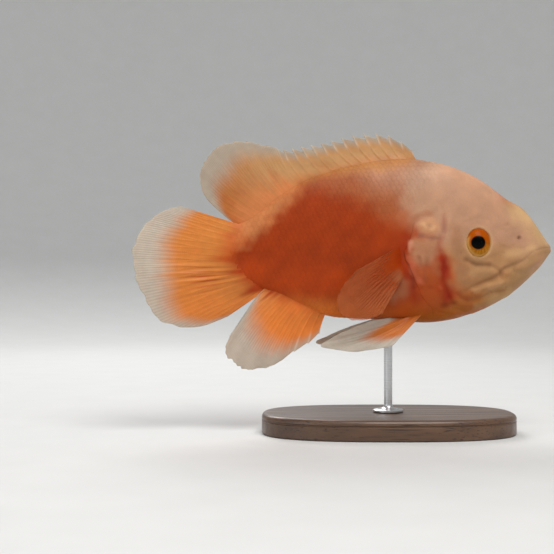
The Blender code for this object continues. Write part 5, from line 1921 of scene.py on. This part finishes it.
@dataclass
class DisplayStand:
    """The walnut base and the steel rod that carries the fish."""

    walnut: bpy.types.Material
    steel: bpy.types.Material
    corner_power: float = 2.6
    segments: int = 192
    rim: float = 2.6 * MM
    rod_radius: float = 2.5 * MM
    foot_radius: float = 9 * MM
    foot_height: float = 3.2 * MM
    rod_sink: float = 1.5 * MM

    def base(self) -> bpy.types.Object:
        """A superellipse plate with a rounded upper edge, a fine bead and a chamfered foot."""
        low, high = (np.array(corner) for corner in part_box("stand_base"))
        half, middle = (high - low) / 2, (high + low) / 2
        quarter = np.linspace(0, math.pi / 2, 9)
        inset = np.concatenate([[0.9 * MM, 0.0, 0.0, 0.45 * MM, 0.45 * MM, 0.0],
                                self.rim * (1 - np.cos(quarter)), np.linspace(6 * MM, half[1] * 0.98, 5)])
        drop = high[2] - low[2] - self.rim
        height = np.concatenate([[0.0, 0.9 * MM, drop - 1.6 * MM, drop - 1.2 * MM, drop - 0.7 * MM,
                                  drop - 0.3 * MM], drop + self.rim * np.sin(quarter),
                                 np.full(5, high[2] - low[2])])
        angle = np.linspace(0, 2 * math.pi, self.segments, endpoint=False)
        power = 2 / self.corner_power
        round_x = np.sign(np.cos(angle)) * np.abs(np.cos(angle)) ** power
        round_y = np.sign(np.sin(angle)) * np.abs(np.sin(angle)) ** power
        scale = np.minimum(inset / half[1], 0.995)
        x = middle[0] + round_x * np.maximum(half[0] - inset, half[0] * (1 - scale))[:, None]
        y = middle[1] + round_y * (half[1] * (1 - scale))[:, None]
        rings = np.stack([x, y, np.broadcast_to(low[2] + height[:, None], x.shape)], -1)
        count = self.segments
        points = np.concatenate([rings.reshape(-1, 3), [[middle[0], middle[1], low[2]],
                                                        [middle[0], middle[1], high[2]]]])
        quads = grid_quads(len(height), count, ringed=True)
        fans = np.concatenate([fan(len(points) - 2, 0, count, turned=True),
                               fan(len(points) - 1, (len(height) - 1) * count, count)])
        data = MeshData(points, quads, fans)
        data.crisp_from = math.radians(35)
        return finish_piece(data.piece("stand_plinth"), self.walnut, "stand_wood", "stand_base")

    def rod(self) -> bpy.types.Object:
        """A turned rod: a low stepped foot that sweeps up into a straight round bar."""
        low, high = (np.array(corner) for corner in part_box("stand_rod"))
        bottom, top = low[2], high[2] + self.rod_sink
        sweep = np.linspace(0, math.pi / 2, 12)
        fillet = 2.6 * MM
        radius = np.concatenate([[0.0, self.foot_radius - 0.3 * MM, self.foot_radius, self.foot_radius,
                                  self.foot_radius - 0.4 * MM, self.foot_radius * 0.66],
                                 self.rod_radius + fillet * (1 - np.sin(sweep)),
                                 np.full(6, self.rod_radius), [0.0]])
        step = self.foot_height * 0.45
        height = np.concatenate([[0.0, 0.0, 0.3 * MM, step - 0.3 * MM, step, step + 0.5 * MM],
                                 step + 0.5 * MM + fillet * (1 - np.cos(sweep)),
                                 np.linspace(step + fillet + 1.5 * MM, top - bottom, 6), [top - bottom]])
        angle = np.linspace(0, 2 * math.pi, 96, endpoint=False)
        centre = (low + high) / 2
        x = centre[0] + radius[1:-1, None] * np.cos(angle)
        y = centre[1] + radius[1:-1, None] * np.sin(angle)
        rings = np.stack([x, y, np.broadcast_to(bottom + height[1:-1, None], x.shape)], -1)
        points = np.concatenate([rings.reshape(-1, 3), [[centre[0], centre[1], bottom],
                                                        [centre[0], centre[1], top]]])
        count, rows = len(angle), len(radius) - 2
        fans = np.concatenate([fan(len(points) - 2, 0, count, turned=True),
                               fan(len(points) - 1, (rows - 1) * count, count)])
        data = MeshData(points, grid_quads(rows, count, ringed=True), fans)
        data.crisp_from = math.radians(40)
        return finish_piece(data.piece("stand_post"), self.steel, "stand_metal", "stand_rod")

    def build(self) -> None:
        """Makes base and rod."""
        self.base()
        self.rod()


@dataclass
class Studio:
    """The pale floor and sweep, the soft lights and the camera."""

    floor_radius: float = 0.9
    bend_radius: float = 1.1
    wall: float = 1.6
    wall_segments: int = 96
    camera_place: tuple[float, float, float] = (-0.0660, -0.70, 0.0922)
    sensor: float = 36.0

    def sweep(self) -> None:
        """A round floor that turns up into a wall all round, turned from one profile."""
        arc = np.linspace(0, math.pi / 2, 24)
        radius = np.concatenate([np.linspace(0.02, self.floor_radius, 12),
                                 self.floor_radius + self.bend_radius * np.sin(arc[1:]),
                                 [self.floor_radius + self.bend_radius]])
        height = np.concatenate([np.zeros(12), self.bend_radius * (1 - np.cos(arc[1:])), [self.wall]])
        angle = np.linspace(0, 2 * math.pi, self.wall_segments, endpoint=False)
        grid = np.stack([radius[:, None] * np.cos(angle), radius[:, None] * np.sin(angle),
                         height[:, None] + 0 * angle], -1)
        cap = fan(grid.size // 3, 0, self.wall_segments)
        faces = grid_quads(len(radius), self.wall_segments, ringed=True)[:, ::-1].tolist() + cap.tolist()
        mesh = bpy.data.meshes.new("studio_sweep")
        mesh.from_pydata(grid.reshape(-1, 3).tolist() + [[0.0, 0.0, 0.0]], [], faces)
        mesh.shade_smooth()
        made = bpy.data.objects.new("studio_sweep", mesh)
        bpy.context.scene.collection.objects.link(made)
        mesh.materials.append(PaperFinish().material())

    def light(self, name: str, place: tuple[float, float, float], aim: tuple[float, float, float],
              size: float, power: float, tint: Colour = (1, 1, 1)) -> None:
        """Adds a square soft light.

        Args:
            name: its name.
            place: where it stands.
            aim: the point that it faces.
            size: its side in metres.
            power: its power in watts.
            tint: its colour.
        """
        lamp = bpy.data.lights.new(name, "AREA")
        lamp.size, lamp.energy, lamp.color = size, power, tint
        made = bpy.data.objects.new(name, lamp)
        bpy.context.scene.collection.objects.link(made)
        made.location = place
        made.rotation_euler = (Vector(aim) - Vector(place)).to_track_quat("-Z", "Y").to_euler()

    def camera(self) -> None:
        """Looks along +Y at the fish, with the picture's width set by its reach at the fish."""
        lens = bpy.data.cameras.new("photo_view")
        lens.sensor_width = self.sensor
        lens.lens = self.sensor * -self.camera_place[1] / (PICTURE_SIZE * METRES_PER_PIXEL)
        made = bpy.data.objects.new("photo_view", lens)
        made.location = self.camera_place
        made.rotation_euler = (math.pi / 2, 0, 0)
        bpy.context.scene.collection.objects.link(made)
        bpy.context.scene.camera = made

    def build(self) -> None:
        """Sets the stage."""
        self.sweep()
        aim = (-0.03, 0.0, 0.11)
        self.light("key", (0.25, -0.65, 1.15), aim, 0.7, 11.5, (1.0, 0.98, 0.95))
        self.light("fill", (-0.9, -0.8, 0.45), aim, 0.9, 3.0, (0.95, 0.97, 1.0))
        self.light("rim", (-0.3, 0.8, 0.8), aim, 0.6, 6.0)
        world = bpy.data.worlds.new("studio")
        world.use_nodes = True
        world.node_tree.nodes["Background"].inputs["Color"].default_value = (0.95, 0.97, 1.0, 1)
        world.node_tree.nodes["Background"].inputs["Strength"].default_value = 0.45
        bpy.context.scene.world = world
        bpy.context.scene.view_settings.view_transform = "Standard"
        self.camera()


def build_fins() -> None:
    """Makes the seven fins."""
    fin = FinFinish("fin membrane").material()
    pectoral = FinFinish("clear fin membrane", 0.15, 0.0, 0.08).material()
    MidlineFin(
        "dorsal_sail", "dorsal_fin", fin, 32, spines=13,
        clear_keys=((0.0, 0.92), (0.1, 0.86), (0.3, 0.84), (0.42, 0.84), (0.5, 0.81), (0.6, 0.77),
                    (0.72, 0.72), (0.85, 0.68), (1.0, 0.54)),
        core=(184, 140, 94), core_low=(176, 104, 50), streak_colour=(164, 92, 46), notch=0.17, seed=21,
        foot_reach=0.6, milk=(172, 162, 146), milk_soft=0.17, root_share=0.7, spine_half=0.36, sheath=0.5,
        keys=((0.0, 79.2, 84.0, 58.2), (1.0, 83.5, 91.0, 63.2), (2.0, 88.5, 98.5, 66.4),
              (4.0, 99.0, 113.0, 67.2), (7.0, 116.5, 132.5, 63.2), (10.0, 134.3, 150.3, 59.8),
              (12.0, 146.0, 161.0, 58.4), (14.0, 154.0, 170.5, 60.0), (18.0, 161.0, 185.5, 62.4),
              (22.0, 167.5, 199.0, 58.6), (25.0, 173.0, 206.8, 49.5), (28.0, 177.9, 208.9, 37.3),
              (30.0, 181.2, 204.0, 26.5), (31.0, 183.4, 195.0, 18.2)),
        edge=Edge.BACK, bow_share=-0.06, fold=1.6, fold_start=0.55, fold_turns=2.4).build()
    MidlineFin(
        "anal_sail", "anal_fin", fin, 19, spines=3,
        clear_keys=((0.0, 0.95), (0.06, 0.9), (0.17, 0.82), (0.28, 0.73), (0.39, 0.66), (0.56, 0.58),
                    (0.72, 0.53), (0.85, 0.48), (1.0, 0.42)),
        core=(222, 126, 55), core_low=(216, 134, 72), notch=0.06, seed=22, foot_reach=0.3, milk_soft=0.22,
        keys=((0.0, 134.3, 138.8, -51.4), (1.0, 137.4, 145.6, -57.5), (2.0, 140.6, 153.9, -62.5),
              (4.0, 145.4, 165.5, -69.8), (7.0, 151.2, 177.5, -72.6), (10.0, 156.0, 187.5, -70.4),
              (13.0, 161.0, 194.3, -62.3), (15.0, 164.0, 193.2, -54.6), (17.0, 166.8, 186.5, -44.4),
              (18.0, 169.0, 179.8, -34.2)),
        edge=Edge.BELLY, bow_share=-0.04, fold=1.5, fold_turns=1.8, fold_phase=0.4).build()
    TailFin("tail_fan", "tail_fin", fin, 18,
            clear_keys=((0.0, 0.8), (0.12, 0.75), (0.3, 0.7), (0.5, 0.71), (0.7, 0.78), (0.85, 0.86),
                        (1.0, 0.9)),
            core=(206, 127, 60), core_low=(206, 122, 56), streak_colour=(164, 60, 8), foot_reach=0.3,
            steps_across=16, seed=23).build()
    for side in Side:
        PairedFin(
            f"pectoral_blade_{side.word}", f"pectoral_fin_{side.word}", pectoral, 14,
            clear_keys=((0.0, 0.45), (0.5, 0.5), (1.0, 0.45)), slot_name="clear_fin",
            core=(172, 82, 46), core_low=(174, 92, 56), streak_colour=(150, 62, 30), milk=(178, 98, 60),
            root_half=1.5, root_sink=1.8, ray_half=0.26, clear_floor=0.94, foot_reach=0.5, streaked=0.0,
            ray_tone=-0.04, steps_along=44, seed=24, side=side,
            keys=((0.0, 91.6, 0.6, 119.5, -14.5, 25.5, 0.0), (3.0, 91.6, -2.8, 128.5, -25.0, 27.0, 0.0),
                  (6.0, 91.3, -6.4, 130.5, -34.0, 27.5, 0.0), (9.0, 90.8, -10.0, 125.5, -41.0, 26.5, 0.0),
                  (11.0, 90.2, -12.4, 116.5, -43.0, 25.0, 0.0), (13.0, 89.4, -14.9, 103.5, -39.5, 22.5, 0.0))
        ).build()
        PairedFin(
            f"pelvic_blade_{side.word}", f"pelvic_fin_{side.word}", fin, 11, spines=1,
            clear_keys=((0.0, 0.75), (0.3, 0.62), (0.5, 0.5), (0.75, 0.35), (1.0, 0.3)),
            core=(186, 104, 42), core_low=(180, 120, 78), root_half=1.3, steps_along=54, seed=25,
            side=side, from_flank=False,
            keys=((0.0, 77.0, 10.0, 97.0, -57.8, 15.5, 0.0), (1.0, 78.1, 9.3, 107.5, -60.0, 16.5, 1.2),
                  (2.0, 79.2, 8.7, 118.0, -61.0, 17.4, 2.4), (3.0, 80.3, 8.0, 128.5, -60.6, 17.9, 3.3),
                  (4.0, 81.4, 7.3, 138.5, -58.2, 18.0, 4.0), (6.0, 83.6, 6.0, 131.5, -52.8, 14.0, 2.6),
                  (8.0, 85.8, 4.9, 119.5, -47.4, 10.2, 1.2), (10.0, 88.0, 4.0, 107.0, -43.2, 7.2, 0.0))
        ).build()


def main() -> None:
    """Builds the fish, its stand and the studio in order."""
    logging.basicConfig(level=logging.INFO, format="%(name)s %(message)s")
    skin = SkinFinish().material()
    Skin(skin).build()
    eye = EyeFinish().material()
    for side in Side:
        ScaleCoat(side, skin).build()
        Eye(side, eye).build()
    build_fins()
    DisplayStand(WalnutFinish().material(), SteelFinish().material()).build()
    Studio().build()


if __name__ == "__main__":
    main()
